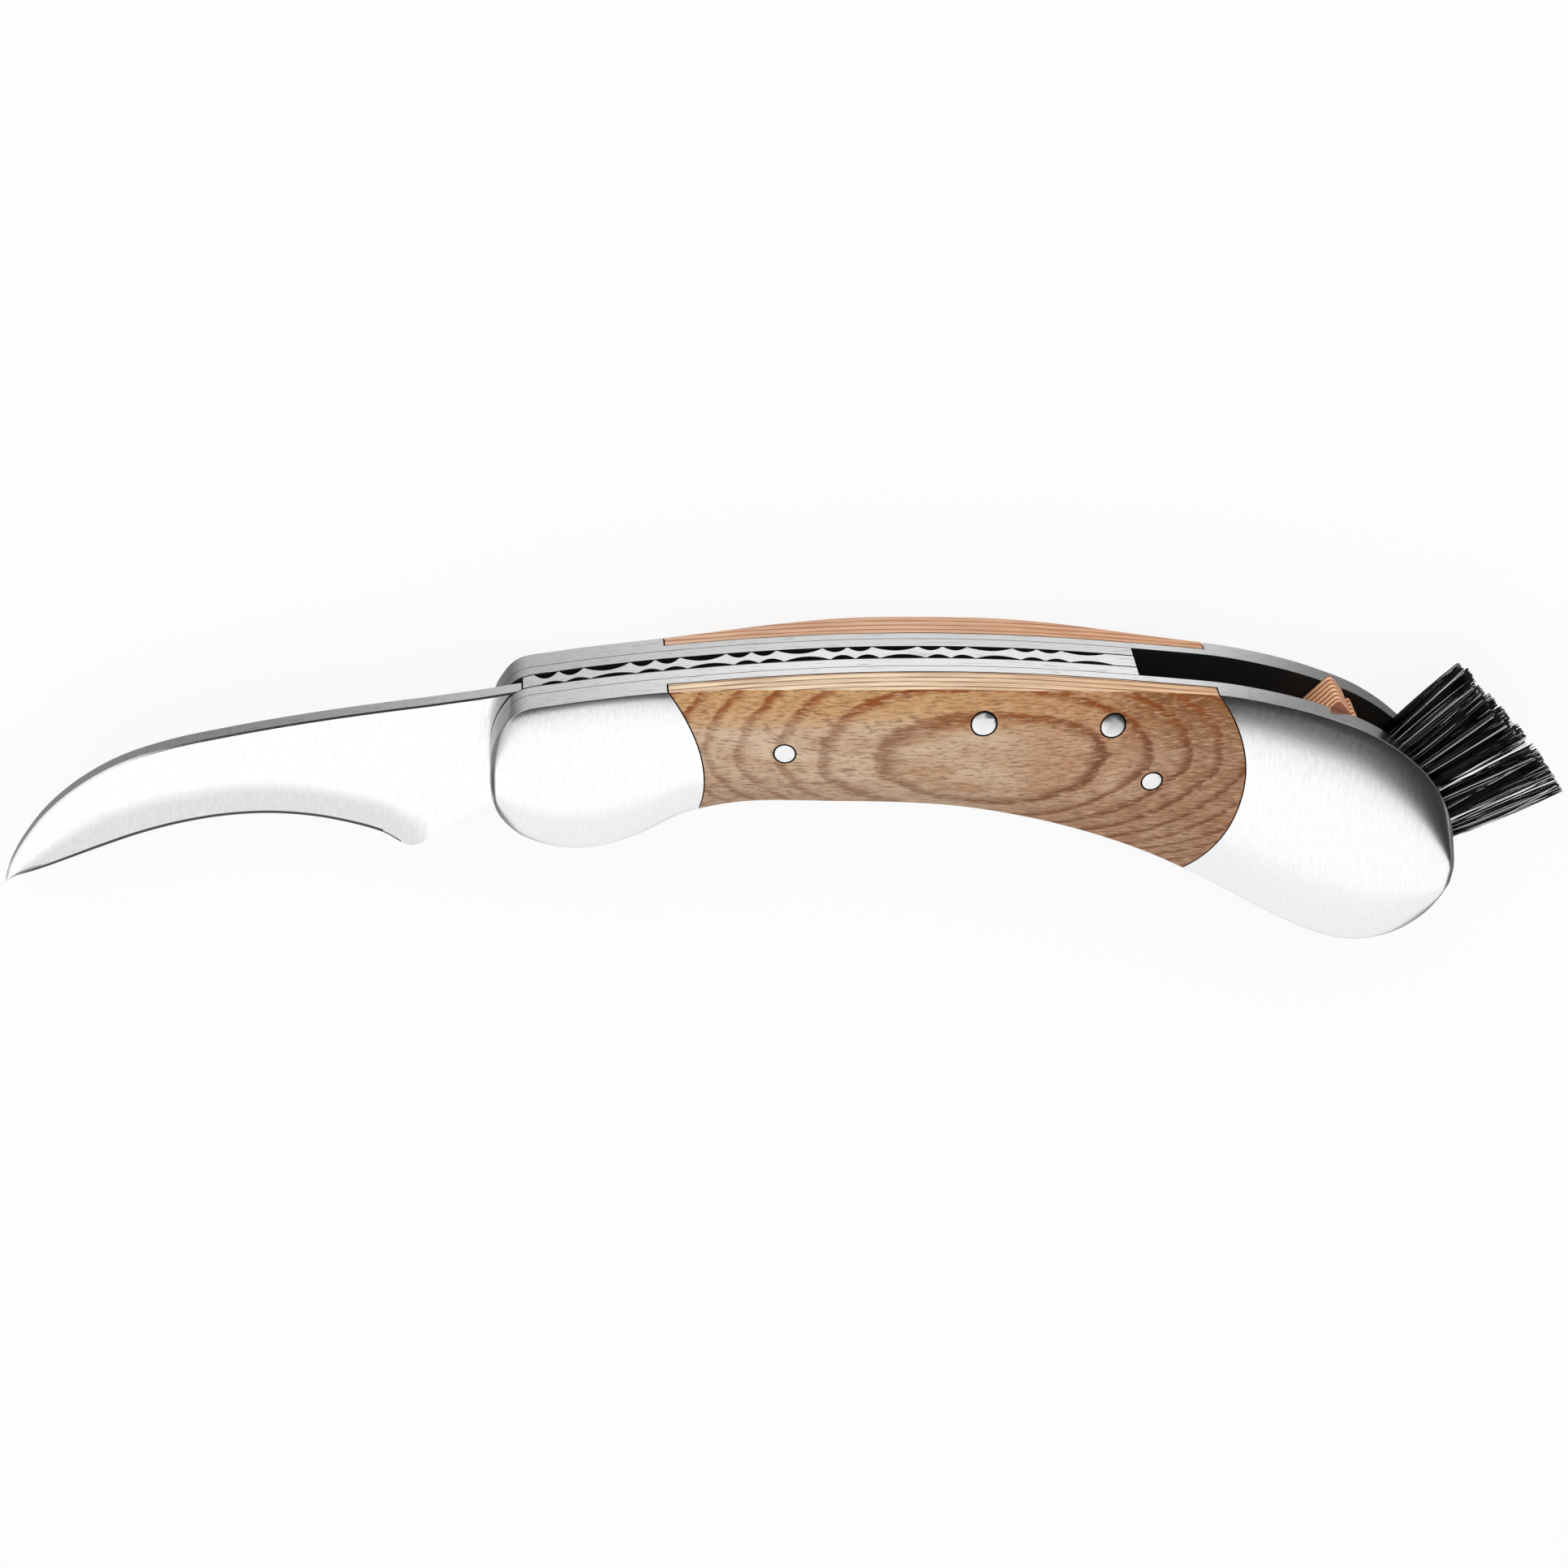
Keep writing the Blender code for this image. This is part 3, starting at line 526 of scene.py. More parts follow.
class Bench:
    """The workbench: the modelling steps that the pieces share."""

    @staticmethod
    def clear() -> None:
        """Leaves nothing selected."""
        if bpy.context.mode != "OBJECT":
            bpy.ops.object.mode_set(mode="OBJECT")
        bpy.ops.object.select_all(action="DESELECT")

    @classmethod
    def pick(cls, *objects: Solid) -> None:
        """Selects objects and nothing else.

        Args:
            *objects: the objects, of which the first one becomes active.
        """
        cls.clear()
        for obj in objects:
            obj.select_set(True)
        bpy.context.view_layer.objects.active = objects[0]

    @staticmethod
    def named(name: str) -> Solid:
        """Names the active object and its mesh.

        Args:
            name: the name.

        Returns:
            The object.
        """
        obj = bpy.context.active_object
        obj.name = obj.data.name = name
        return obj

    @staticmethod
    def edit(*steps: Callable[[], object]) -> None:
        """Takes steps on the whole mesh of the active object, then turns its faces outwards.

        Args:
            *steps: the operators, with their settings.
        """
        bpy.ops.object.mode_set(mode="EDIT")
        for step in (*steps, partial(bpy.ops.mesh.normals_make_consistent, inside=False)):
            bpy.ops.mesh.select_all(action="SELECT")
            step()
        bpy.ops.object.mode_set(mode="OBJECT")

    @staticmethod
    def apply(obj: Solid, kind: str, **settings: object) -> None:
        """Adds a modifier and applies it.

        Args:
            obj: the object, which is active.
            kind: the modifier's type.
            **settings: its settings.
        """
        modifier = obj.modifiers.new("step", kind)
        for name, value in settings.items():
            setattr(modifier, name, value)
        bpy.ops.object.modifier_apply(modifier=modifier.name)

    @classmethod
    def prism(cls, name: str, outline: Sequence[Vector], low: float, high: float) -> Solid:
        """Raises a flat outline into a solid.

        Args:
            name: the object's name.
            outline: the outline's points, in order.
            low: height of its underside.
            high: height of its top.

        Returns:
            The solid.
        """
        cls.clear()
        bpy.ops.mesh.primitive_circle_add(vertices=len(outline), fill_type="NGON", radius=1)
        obj = cls.named(name)
        for vertex, point in zip(obj.data.vertices, outline):
            vertex.co = (point.x, point.y, low)
        rise = {"value": (0, 0, high - low)}
        cls.edit(partial(bpy.ops.mesh.extrude_region_move, TRANSFORM_OT_translate=rise))
        return obj

    @classmethod
    def loft(cls, name: str, rings: Sequence[Sequence[Vector]]) -> Solid:
        """Skins a row of closed rings, each with as many points as the next, and caps both ends.

        Args:
            name: the object's name.
            rings: the rings, in order.

        Returns:
            The solid.
        """
        cls.clear()
        bpy.ops.mesh.primitive_grid_add(x_subdivisions=len(rings[0]), y_subdivisions=len(rings) - 1)
        obj = cls.named(name)
        flat = [value for ring in rings for point in (*ring, ring[0]) for value in point]
        obj.data.vertices.foreach_set("co", flat)
        merge = partial(bpy.ops.mesh.remove_doubles, threshold=0.0005 * MM)
        cls.edit(merge, partial(bpy.ops.mesh.fill_holes, sides=0))
        return obj

    @classmethod
    def boolean(cls, obj: Solid, other: Solid, operation: str) -> None:
        """Cuts or meets an object with another one.

        Args:
            obj: the object that stays.
            other: the one that is used up.
            operation: DIFFERENCE or INTERSECT.
        """
        cls.pick(obj)
        cls.apply(obj, "BOOLEAN", operation=operation, solver="EXACT", object=other)
        bpy.data.objects.remove(other, do_unlink=True)

    @classmethod
    def cut(cls, obj: Solid, cutter: Solid, materials: Sequence[Material] = ()) -> None:
        """Cuts obj with a cutter, and removes the cutter.

        Args:
            obj: the object to cut.
            cutter: the shape to cut away.
            materials: the object's two materials, where the cut's walls take the second.
        """
        if materials:
            dress(cutter, *materials)
            for face in cutter.data.polygons:
                face.material_index = 1
        cls.boolean(obj, cutter, "DIFFERENCE")

    @classmethod
    def round_edges(cls, obj: Solid, width: float, segments: int, angle: float = 40) -> None:
        """Rounds an object's sharp edges.

        Args:
            obj: the object.
            width: how far the rounding reaches.
            segments: how many steps it takes.
            angle: how far an edge turns at least to count as sharp, in degrees.
        """
        cls.pick(obj)
        limit = {"limit_method": "ANGLE", "angle_limit": math.radians(angle)}
        cls.apply(obj, "BEVEL", width=width, segments=segments, **limit)

    @classmethod
    def smooth(cls, obj: Solid, angle: float = 32) -> None:
        """Shades obj smooth, with sharp edges over an angle in degrees."""
        cls.pick(obj)
        bpy.ops.object.shade_smooth_by_angle(angle=math.radians(angle))

    @classmethod
    def mirrored(cls, obj: Solid, name: str, middle: float) -> Solid:
        """Copies obj to the other side of a level plane.

        Args:
            obj: the object.
            name: the copy's name.
            middle: height of the plane.

        Returns:
            The copy.
        """
        cls.pick(obj)
        bpy.ops.object.duplicate()
        over = {"constraint_axis": (False, False, True), "center_override": (0, 0, middle)}
        twin = cls.named(name)
        cls.edit(partial(bpy.ops.transform.mirror, **over))
        return twin


@dataclass
class Handle:
    """The handle: two frames with their bolsters, two wooden scales, two liners and the pins.

    Attributes hold its sizes. Setbacks and insets run along X, and drops run down from the spine.
    """

    pivot: Vector
    brush_pivot: Vector
    length: float = 126.4 * MM
    depth: float = 41.5 * MM
    setback: float = 10.3 * MM
    edge_wood: float = 1.75 * MM
    swell: float = 2.2 * MM
    swell_land: float = 6.5 * MM
    swell_reach: float = 38.0 * MM
    swell_centre_share: float = 0.441
    crown: float = 1.7 * MM
    crown_depth: float = 10.4 * MM
    flat_share: float = 0.38
    rim: float = 0.26 * MM
    spring_half: float = 1.2 * MM
    liner: float = 1.85 * MM
    plate: float = 1.2 * MM
    gap: float = 0.05 * MM
    far_gap: float = 0.22 * MM
    plate_gap: float = 0.09 * MM
    pin_gap: float = 0.22 * MM
    seam: float = 0.18 * MM
    junction_radius: float = 20.1 * MM
    junction_drop: float = 0.3 * MM
    front_junction: float = 26.7 * MM
    rear_junction: float = 30.4 * MM
    spring_setback: float = 6.15 * MM
    spring_rear_setback: float = 45.05 * MM
    scale_pin_radius: float = 1.25 * MM
    scale_pin_insets: tuple[float, float] = (9.83 * MM, 12.32 * MM)
    scale_pin_drops: tuple[float, float] = (8.5 * MM, 12.5 * MM)
    spring_pin_radius: float = 1.5 * MM
    spring_pin_shares: tuple[float, float] = (0.737, 0.9515)
    spring_pin_drops: tuple[float, float] = (4.2 * MM, 4.3 * MM)
    pin_round: float = 0.08 * MM
    pivot_pin_radius: float = 2.25 * MM
    pivot_pin_end: float = 6.2 * MM
    overrun: float = 10.0 * MM

    SPINE_SHARES = (
        (0, 0.022), (0.0018, 0.09), (0.0115, 0.172), (0.03, 0.237), (0.066, 0.262), (0.11, 0.284),
        (0.158, 0.304), (0.206, 0.32), (0.269, 0.338), (0.356, 0.354), (0.441, 0.3586), (0.522, 0.353),
        (0.601, 0.338), (0.68, 0.317), (0.74, 0.296), (0.799, 0.256), (0.8465, 0.209), (0.891, 0.149),
        (0.932, 0.062), (0.964, -0.042), (0.9868, -0.17), (0.9988, -0.31),
    )
    BELLY_SHARES = (
        (0, -0.022), (0.003, -0.09), (0.012, -0.158), (0.033, -0.224), (0.067, -0.264), (0.105, -0.266),
        (0.147, -0.221), (0.198, -0.128), (0.261, -0.073), (0.348, -0.057), (0.419, -0.06), (0.483, -0.08),
        (0.546, -0.124), (0.609, -0.194), (0.672, -0.284), (0.736, -0.392), (0.799, -0.506),
        (0.854, -0.596), (0.902, -0.641), (0.946, -0.621), (0.98, -0.54), (0.9972, -0.434),
    )
    STEPS, RIM_STEPS, CROWN_STEPS, JUNCTION_STEPS = 7, 4, 26, 96
    SCALE_PINS = ("front_scale_pin", "rear_scale_pin")
    SPRING_PINS = ("spring_pin_middle", "spring_pin_rear")

    def __post_init__(self) -> None:
        """Works out the layers, the outlines and the pins' places from the sizes."""
        self.front = -self.setback
        self.butt = self.front + self.length
        self.plate_inside = self.spring_half + self.liner + 2 * self.gap
        self.plate_outside = self.plate_inside + self.plate
        self.pivot_hole = self.pivot_pin_radius + self.gap
        self.spring_front = -self.spring_setback
        self.spring_rear = self.butt - self.spring_rear_setback
        self.spine, self.belly = (self.outline(s) for s in (self.SPINE_SHARES, self.BELLY_SHARES))
        spring = self.spring_rear - self.spring_front
        front_inset, rear_inset = self.scale_pin_insets
        scale_places = (
            self.front + self.front_junction + front_inset,
            self.butt - self.rear_junction - rear_inset,
        )
        spring_places = [self.spring_front + share * spring for share in self.spring_pin_shares]
        self.pins = {}
        for names, places, drops, radius in (
            (self.SCALE_PINS, scale_places, self.scale_pin_drops, self.scale_pin_radius),
            (self.SPRING_PINS, spring_places, self.spring_pin_drops, self.spring_pin_radius),
        ):
            for name, x, drop in zip(names, places, drops):
                self.pins[name] = (self.on(Vector((x, height_at(self.spine, x) - drop))), radius)

    def outline(self, shares: Sequence[tuple[float, float]]) -> list[Vector]:
        """Returns one edge of the handle, seen from the side."""
        places = [Vector((self.front + x * self.length, y * self.depth)) for x, y in shares]
        return smooth_curve(places, self.STEPS)

    def on(self, point: Vector) -> Vector:
        """Returns where a place measured from the pivot lies on the knife, seen from the side."""
        return Vector((self.pivot.x + point.x, self.pivot.y + point.y))

    def at(self, point: Vector, z: float) -> Vector:
        """Returns where a place measured from the pivot lies, at the height z over the middle plane."""
        return Vector((*self.on(point), self.pivot.z + z))

    def swell_at(self, x: float) -> float:
        """Works out how much thicker the handle's sides are at a place.

        Args:
            x: the place along the handle.

        Returns:
            The swell of each side.
        """
        centre = self.front + self.swell_centre_share * self.length
        away = max(0, abs(x - centre) - self.swell_land) / (self.swell_reach - self.swell_land)
        return self.swell * (1 + math.cos(math.pi * min(1, away))) / 2

    def ring(self, belly: Vector, spine: Vector) -> list[Vector]:
        """Works out the handle's cross section.

        Args:
            belly: where it starts, on the belly.
            spine: the place on the spine that the first one faces.

        Returns:
            The section's points: over the right side to the spine, and back under the left one.
        """
        across = (spine - belly).length
        reach = min(1, across / self.crown_depth)
        slope = math.atan(2 * self.crown * reach / (self.flat_share * across))
        inset = self.rim * (1 - math.sin(slope)) / across
        edge = self.plate_outside + self.edge_wood

        def crown_at(share: float) -> float:
            """Returns the crown's height at a share of the way from the belly to the spine."""
            off = max(0, self.flat_share - share, share - 1 + self.flat_share) / self.flat_share
            swell = self.swell_at(belly.lerp(spine, share).x)
            return edge + swell + self.crown * reach * (1 - off**2)

        places = []
        for step in range(self.RIM_STEPS):
            t = (math.pi / 2 - slope) * step / self.RIM_STEPS
            drop = self.rim * (math.cos(slope) - math.sin(t))
            places.append((self.rim * (1 - math.cos(t)) / across, drop))
        upper = [(share, crown_at(inset) - drop) for share, drop in places]
        for step in range(self.CROWN_STEPS + 1):
            share = inset + (1 - 2 * inset) * step / self.CROWN_STEPS
            upper.append((share, crown_at(share)))
        upper += [(1 - share, crown_at(1 - inset) - drop) for share, drop in reversed(places)]
        section = [(belly.lerp(spine, share), z) for share, z in upper]
        return [self.at(*place) for place in section] + [self.at(p, -z) for p, z in reversed(section)]

    def blank(self) -> Solid:
        """Returns the outer shape of the whole handle, which its layers and pins are cut to."""
        return Bench.loft("blank", [self.ring(b, s) for b, s in zip(self.belly, self.spine)])

    def junction(self, inset: float) -> list[Vector]:
        """Draws the outline of the wood, with an arc at each end.

        Args:
            inset: how far it stays inside the bolsters' seams.

        Returns:
            The outline on the knife, which runs past the spine and the belly.
        """
        outline = []
        ends = ((self.front + self.front_junction, 1), (self.butt - self.rear_junction, -1))
        for place, way in ends:
            radius = self.junction_radius + way * inset
            centre = Vector((place - self.junction_radius, -self.junction_drop))
            points = arc(centre, radius, math.pi / 2 * way, -math.pi / 2 * way, self.JUNCTION_STEPS)
            outer = Vector((0, self.overrun * way))
            outline += [points[0] + outer, *points, points[-1] - outer]
        return [self.on(point) for point in outline]

    def bore(
        self,
        obj: Solid,
        centre: Vector,
        radius: float,
        materials: Sequence[Material] = (),
        reach: float = 20 * MM,
    ) -> None:
        """Bores a round hole.

        Args:
            obj: the object to bore.
            centre: the hole's centre, seen from the side.
            radius: its radius.
            materials: the object's two materials, where the hole's wall takes the second.
            reach: how far the hole goes to both sides of the middle plane.
        """
        low, high = self.pivot.z - reach, self.pivot.z + reach
        Bench.cut(obj, Bench.prism("bore", circle(centre, radius), low, high), materials)

    def drill(
        self, obj: Solid, pins: Sequence[str], clearance: float, materials: Sequence[Material] = ()
    ) -> None:
        """Bores the holes of some of the pins right through an object, with a clearance."""
        for centre, radius in (self.pins[name] for name in pins):
            self.bore(obj, centre, radius + clearance, materials)

    def build(self, steels: Sides, liners: Sides, woods: Sides, raw: Material, pin: Material) -> None:
        """Models the handle.

        Args:
            steels: the frames' steel on each side.
            liners: the liners' steel on each side.
            woods: the scales' wood on each side.
            raw: the black matt finish that paints the shade on the walls of beds, holes and hollows.
            pin: the pins' steel.
        """
        self.build_sides(steels, woods, raw)
        self.build_liners(liners)
        self.build_pins(pin)

    def build_sides(self, steels: Sides, woods: Sides, raw: Material) -> None:
        """Models the frames with their bolsters, and the scales that lie in their beds, whose walls are
        painted black as painted shade.

        Args:
            steels: the frames' steel on each side.
            woods: the scales' wood on each side.
            raw: the black painted shade on the walls of the beds and of the scales' pin holes.
        """
        middle, top = self.pivot.z, self.pivot.z + 2 * self.overrun
        left, right = self.front - self.overrun, self.butt + self.overrun
        corners = ((left, -self.depth), (right, -self.depth), (right, self.depth), (left, self.depth))
        frame = self.blank()
        outline = [self.on(Vector(corner)) for corner in corners]
        Bench.boolean(frame, Bench.prism("slab", outline, middle + self.plate_inside, top), "INTERSECT")
        floor = middle + self.plate_outside
        # The frame's second finish goes on the bed's walls and paints the shade in the seam round the wood
        # black.
        dress(frame, steels[Side.RIGHT], raw)
        Bench.cut(frame, Bench.prism("bed", self.junction(0), floor, top), frame.data.materials[:])
        scale = Bench.prism("scale", self.junction(self.seam), floor + self.seam, top)
        Bench.boolean(scale, self.blank(), "INTERSECT")
        pins = (*self.SCALE_PINS, *self.SPRING_PINS)
        self.drill(frame, pins, self.gap)
        for place in (self.pivot, self.brush_pivot):
            self.bore(frame, place.to_2d(), self.pivot_hole, reach=self.pivot_pin_end + self.gap)
        dress(scale, woods[Side.RIGHT], raw)
        # The walls of the pin holes in the wood are painted black: painted shade round each pin.
        self.drill(scale, pins, self.pin_gap, scale.data.materials[:])
        for shell, node, slot, finishes in (
            (frame, "frame", "handle_steel", steels),
            (scale, "scale", "laminated_wood", woods),
        ):
            shell.name = shell.data.name = f"{node}_right_shell"
            twin = Bench.mirrored(shell, f"{node}_left_shell", middle)
            for obj, side in ((shell, Side.RIGHT), (twin, Side.LEFT)):
                obj.data.materials[0] = finishes[side]
                Bench.smooth(obj)
                hand_over(obj, "handle", slot, f"{node}_{side.name.lower()}")

    def build_liners(self, steels: Sides) -> None:
        """Models the two liners, which end where the spring ends.

        Args:
            steels: their steel on each side.
        """
        rear = self.spring_rear
        kept = [p for p in self.belly if p.x < rear]
        kept += [Vector((rear, height_at(edge, rear))) for edge in (self.belly, self.spine)]
        kept += [p for p in reversed(self.spine) if p.x < rear]
        outline = [self.on(point) for point in kept]
        for side in Side:
            inside = self.spring_half + (self.gap if side is Side.RIGHT else self.far_gap)
            faces = (inside, self.plate_inside - self.plate_gap)
            low, high = sorted(self.pivot.z + side.value * face for face in faces)
            name = f"inner_liner_{side.name.lower()}"
            plate = Bench.prism(f"{name}_plate", outline, low, high)
            self.drill(plate, self.SPRING_PINS, self.gap)
            self.bore(plate, self.pivot.to_2d(), self.pivot_hole)
            dress(plate, steels[side])
            Bench.smooth(plate)
            hand_over(plate, "handle", "handle_steel", name)

    def build_pins(self, steel: Material) -> None:
        """Models the pins, cut flush with the crown, with their edges broken.

        Args:
            steel: their steel.
        """
        middle, top = self.pivot.z, 2 * self.overrun
        for name in (*self.SPRING_PINS, *self.SCALE_PINS):
            through = name in self.SPRING_PINS
            node = name if through else f"{name}_right"
            low = middle - top if through else middle + self.plate_inside
            pin = Bench.prism(f"{node}_rod", circle(*self.pins[name]), low, middle + top)
            Bench.boolean(pin, self.blank(), "INTERSECT")
            Bench.round_edges(pin, self.pin_round, 2)
            dress(pin, steel)
            Bench.smooth(pin)
            hand_over(pin, "handle", "pin_steel", node)
            if not through:
                twin = Bench.mirrored(pin, f"{name}_left_rod", middle)
                hand_over(twin, "handle", "pin_steel", f"{name}_left")


@dataclass
class Spring:
    """The back spring, with a row of filed hollows along each of its upper edges.

    Attributes hold its sizes. The hollows were filed by hand, so their depth varies along each row:
    far and near give it at the front, the middle and the rear.
    """

    handle: Handle
    depth: float = 8.5 * MM
    tang: float = 7.2 * MM
    clearance: float = 0.3 * MM
    long: float = 5.55 * MM
    short: float = 2.92 * MM
    land: float = 0.22 * MM
    bite_height: float = 1.1 * MM
    fullness: float = 0.85
    start: float = 1.4 * MM
    end: float = 2.0 * MM
    shift: float = 0.8 * MM
    far: tuple[float, float, float] = (1.15 * MM, 0.9 * MM, 0.6 * MM)
    near: tuple[float, float, float] = (0.5 * MM, 0.85 * MM, 0.5 * MM)

    UNDER_SHARES = (
        (0.15, 0.5), (0.235, 0.52), (0.3, 0.42), (0.365, 0.34), (0.43, 0.38), (0.5, 0.62),
        (0.58, 0.84), (0.68, 0.96), (0.82, 0.98), (0.92, 0.96), (1, 0.91),
    )
    HOOK_STEPS, UNDER_STEPS, HOLLOW_STEPS = 24, 6, 14

    def outline(self) -> list[Vector]:
        """Draws the spring seen from the side: a hook over the tang, then a long arm.

        Returns:
            The outline's points.
        """
        front, rear, spine = self.handle.spring_front, self.handle.spring_rear, self.handle.spine
        radius = self.tang + self.clearance
        under = []
        for along, depth in self.UNDER_SHARES:
            x = front + along * (rear - front)
            under.append(Vector((x, height_at(spine, x) - depth * self.depth)))
        hook_end = math.atan2(under[0].y, under[0].x)
        points = arc(Vector((0, 0)), radius, math.acos(front / radius), hook_end, self.HOOK_STEPS)
        points += smooth_curve(under, self.UNDER_STEPS)
        points += [Vector((rear, height_at(spine, rear)))]
        points += [p for p in reversed(spine) if front < p.x < rear]
        points += [Vector((front, height_at(spine, front)))]
        return [self.handle.on(point) for point in points]

    def bite_at(self, share: float, way: int) -> float:
        """Works out how deep a hollow is.

        Args:
            share: its place as a share of the spring's length.
            way: 1 for the near side, -1 for the far one.

        Returns:
            Its depth.
        """
        front, middle, rear = self.near if way > 0 else self.far
        if share < 0.5:
            return front + (middle - front) * share * 2
        return middle + (rear - middle) * (share - 0.5) * 2

    def hollow(self, start: float, length: float, way: int) -> Solid:
        """Makes the cutter of one filed hollow: a lens that bites into one side from above.

        Args:
            start: where the hollow starts along the spring.
            length: its length.
            way: 1 for the near side, -1 for the far one.

        Returns:
            The cutter.
        """
        handle = self.handle
        near, far = (height_at(handle.spine, start + length * share) for share in (0, 1))
        spring = handle.spring_rear - handle.spring_front
        bite = self.bite_at((start + length / 2 - handle.spring_front) / spring, way)
        rings = []
        for level in (-self.bite_height, self.bite_height):
            ring = []
            for step in range(self.HOLLOW_STEPS + 1):
                share = step / self.HOLLOW_STEPS
                inner = 0 < step < self.HOLLOW_STEPS
                depth = bite * math.sin(math.pi * share) ** self.fullness if inner else 0
                point = Vector((start + length * share, near + (far - near) * share + level))
                ring.append(handle.at(point, way * (handle.spring_half - depth)))
            for x, y in ((start + length, far + level), (start, near + level)):
                ring.append(handle.at(Vector((x, y)), way * (handle.spring_half + bite)))
            rings.append(ring)
        return Bench.loft("hollow", rings)

    def hollows(self) -> Solid:
        """Makes the cutters of both rows: two short hollows and a long one by turns.

        Returns:
            The cutters, joined.
        """
        front, rear = self.handle.spring_front, self.handle.spring_rear
        cutters = []
        for way in (1, -1):
            start, index = front + self.start + (self.shift if way > 0 else 0), 0
            while start + self.long < rear - self.end:
                length = (self.short, self.short, self.long)[index % 3]
                cutters.append(self.hollow(start, length, way))
                start += length + self.land
                index += 1
        Bench.pick(*cutters)
        bpy.ops.object.join()
        return cutters[0]

    def build(self, steel: Material, raw: Material) -> None:
        """Models the spring and files it.

        Args:
            steel: its steel.
            raw: the black painted shade on the walls of the hollows.
        """
        handle = self.handle
        low, high = handle.pivot.z - handle.spring_half, handle.pivot.z + handle.spring_half
        spring = Bench.prism("back_spring_filed", self.outline(), low, high)
        handle.drill(spring, handle.SPRING_PINS, handle.gap)
        dress(spring, steel, raw)
        # The hollows' walls are painted black: painted shade.
        Bench.cut(spring, self.hollows(), (steel, raw))
        Bench.smooth(spring, 25)
        hand_over(spring, "handle", "handle_steel", "back_spring")


@dataclass
class Blade:
    """The hooked blade: flat sides, a hollow grind along its concave edge and a fine cutting bevel.

    Attributes hold its sizes. The tables run from the tip to the tang.
    """

    handle: Handle
    length: float = 72.3 * MM
    drop: float = 20.3 * MM
    half: float = 1.1 * MM
    tang: float = 7.2 * MM
    tang_end: float = math.radians(-130)
    shoulder_setback: float = 6.35 * MM
    shoulder_rise: float = 9.45 * MM
    grind: float = 6.2 * MM
    grind_share: float = 0.6
    land: float = 0.10 * MM
    bevel: float = 0.60 * MM
    bevel_half: float = 0.27 * MM
    back_rim: float = 0.22 * MM
    power: float = 1.25

    BACK_SHARES = (
        (1, -0.985), (0.986, -0.85), (0.959, -0.672), (0.916, -0.46), (0.856, -0.256), (0.781, -0.082),
        (0.692, 0.042), (0.595, 0.131), (0.498, 0.207), (0.408, 0.268), (0.325, 0.318), (0.249, 0.36),
        (0.208, 0.385), (0.166, 0.41), (0.127, 0.437),
    )
    EDGE_SHARES = (
        (0.9965, -1), (0.943, -0.934), (0.885, -0.845), (0.82, -0.742), (0.752, -0.644),
        (0.68, -0.565), (0.606, -0.513), (0.531, -0.495), (0.456, -0.517), (0.387, -0.574),
        (0.332, -0.645), (0.284, -0.739), (0.24, -0.63), (0.181, -0.463), (0.138, -0.357),
    )
    GROUND_SHARES = (1, 1, 1, 1, 1, 1, 1, 1, 1, 1, 1, 0.75, 0, 0, 0)
    FLAT_SHARES = (0.35, 0.7, 1)
    STEPS, GRIND_STEPS, TANG_STEPS = 8, 14, 40

    def rails(self) -> tuple[list[Vector], list[Vector], list[float]]:
        """Draws the blade seen from the side.

        Returns:
            The cutting edge, the back, and how far each rung between them is ground.
        """
        edge, back = (
            smooth_curve([Vector((-x * self.length, y * self.drop)) for x, y in shares], self.STEPS)
            for shares in (self.EDGE_SHARES, self.BACK_SHARES)
        )
        ground = [v.x for v in smooth_curve([Vector((g, 0)) for g in self.GROUND_SHARES], self.STEPS)]
        back[-1] = Vector((-self.shoulder_setback, self.shoulder_rise))
        shoulder = math.acos(-self.shoulder_setback / self.tang)
        for rail, start in ((back, shoulder), (edge, self.tang_end)):
            rail += arc(Vector((0, 0)), self.tang, start, 0, self.TANG_STEPS)[:-1]
        return edge, back, ground + [0] * self.TANG_STEPS

    def half_at(self, distance: float, width: float, share: float) -> float:
        """Works out the blade's half thickness.

        Args:
            distance: distance from the cutting edge.
            width: how far the grind reaches there.
            share: how far the blade is ground there.

        Returns:
            The half thickness.
        """
        bevel = min(self.bevel, width / 4)
        if distance < bevel:
            thin = self.land / 2 + (self.bevel_half - self.land / 2) * distance / bevel
        else:
            left = 1 - min(1, (distance - bevel) / (width - bevel))
            thin = self.half - (self.half - self.bevel_half) * left**self.power
        return self.half + (thin - self.half) * min(1, max(0, share))

    def ring(self, low: Vector, high: Vector, share: float) -> list[Vector]:
        """Works out the blade's cross section.

        Args:
            low: where it starts, on the cutting edge.
            high: where it ends, on the back.
            share: how far the blade is ground there.

        Returns:
            The section's points.
        """
        length = (high - low).length
        width = min(self.grind, self.grind_share * length)
        bevel = min(self.bevel, width / 4)
        places = [0, bevel / 2, bevel]
        places += [bevel + (width - bevel) * (n + 1) / self.GRIND_STEPS for n in range(self.GRIND_STEPS)]
        places += [width + (length - self.back_rim - width) * along for along in self.FLAT_SHARES]
        top = [(low.lerp(high, place / length), self.half_at(place, width, share)) for place in places]
        top.append((high, self.half - self.back_rim))
        return [self.handle.at(*place) for place in top] + [self.handle.at(p, -z) for p, z in reversed(top)]

    def build(self, steel: Material, whetted: Material) -> None:
        """Models the blade with its pin's hole and its whetted edge.

        Args:
            steel: its steel.
            whetted: the finish of the cutting bevel, a dark grey steel that paints a dark reflection.
        """
        handle = self.handle
        blade = Bench.loft("blade_ground", [self.ring(*rung) for rung in zip(*self.rails())])
        handle.bore(blade, handle.pivot.to_2d(), handle.pivot_hole)
        dress(blade, steel, whetted)
        # The cutting bevel's faces take the dark grey: a painted dark reflection.
        for face in blade.data.polygons:
            thick = max(abs(blade.data.vertices[i].co.z - handle.pivot.z) for i in face.vertices)
            face.material_index = int(thick < self.bevel_half + TOUCH)
        Bench.smooth(blade, 14)
        hand_over(blade, "blade", "blade_steel", "blade")


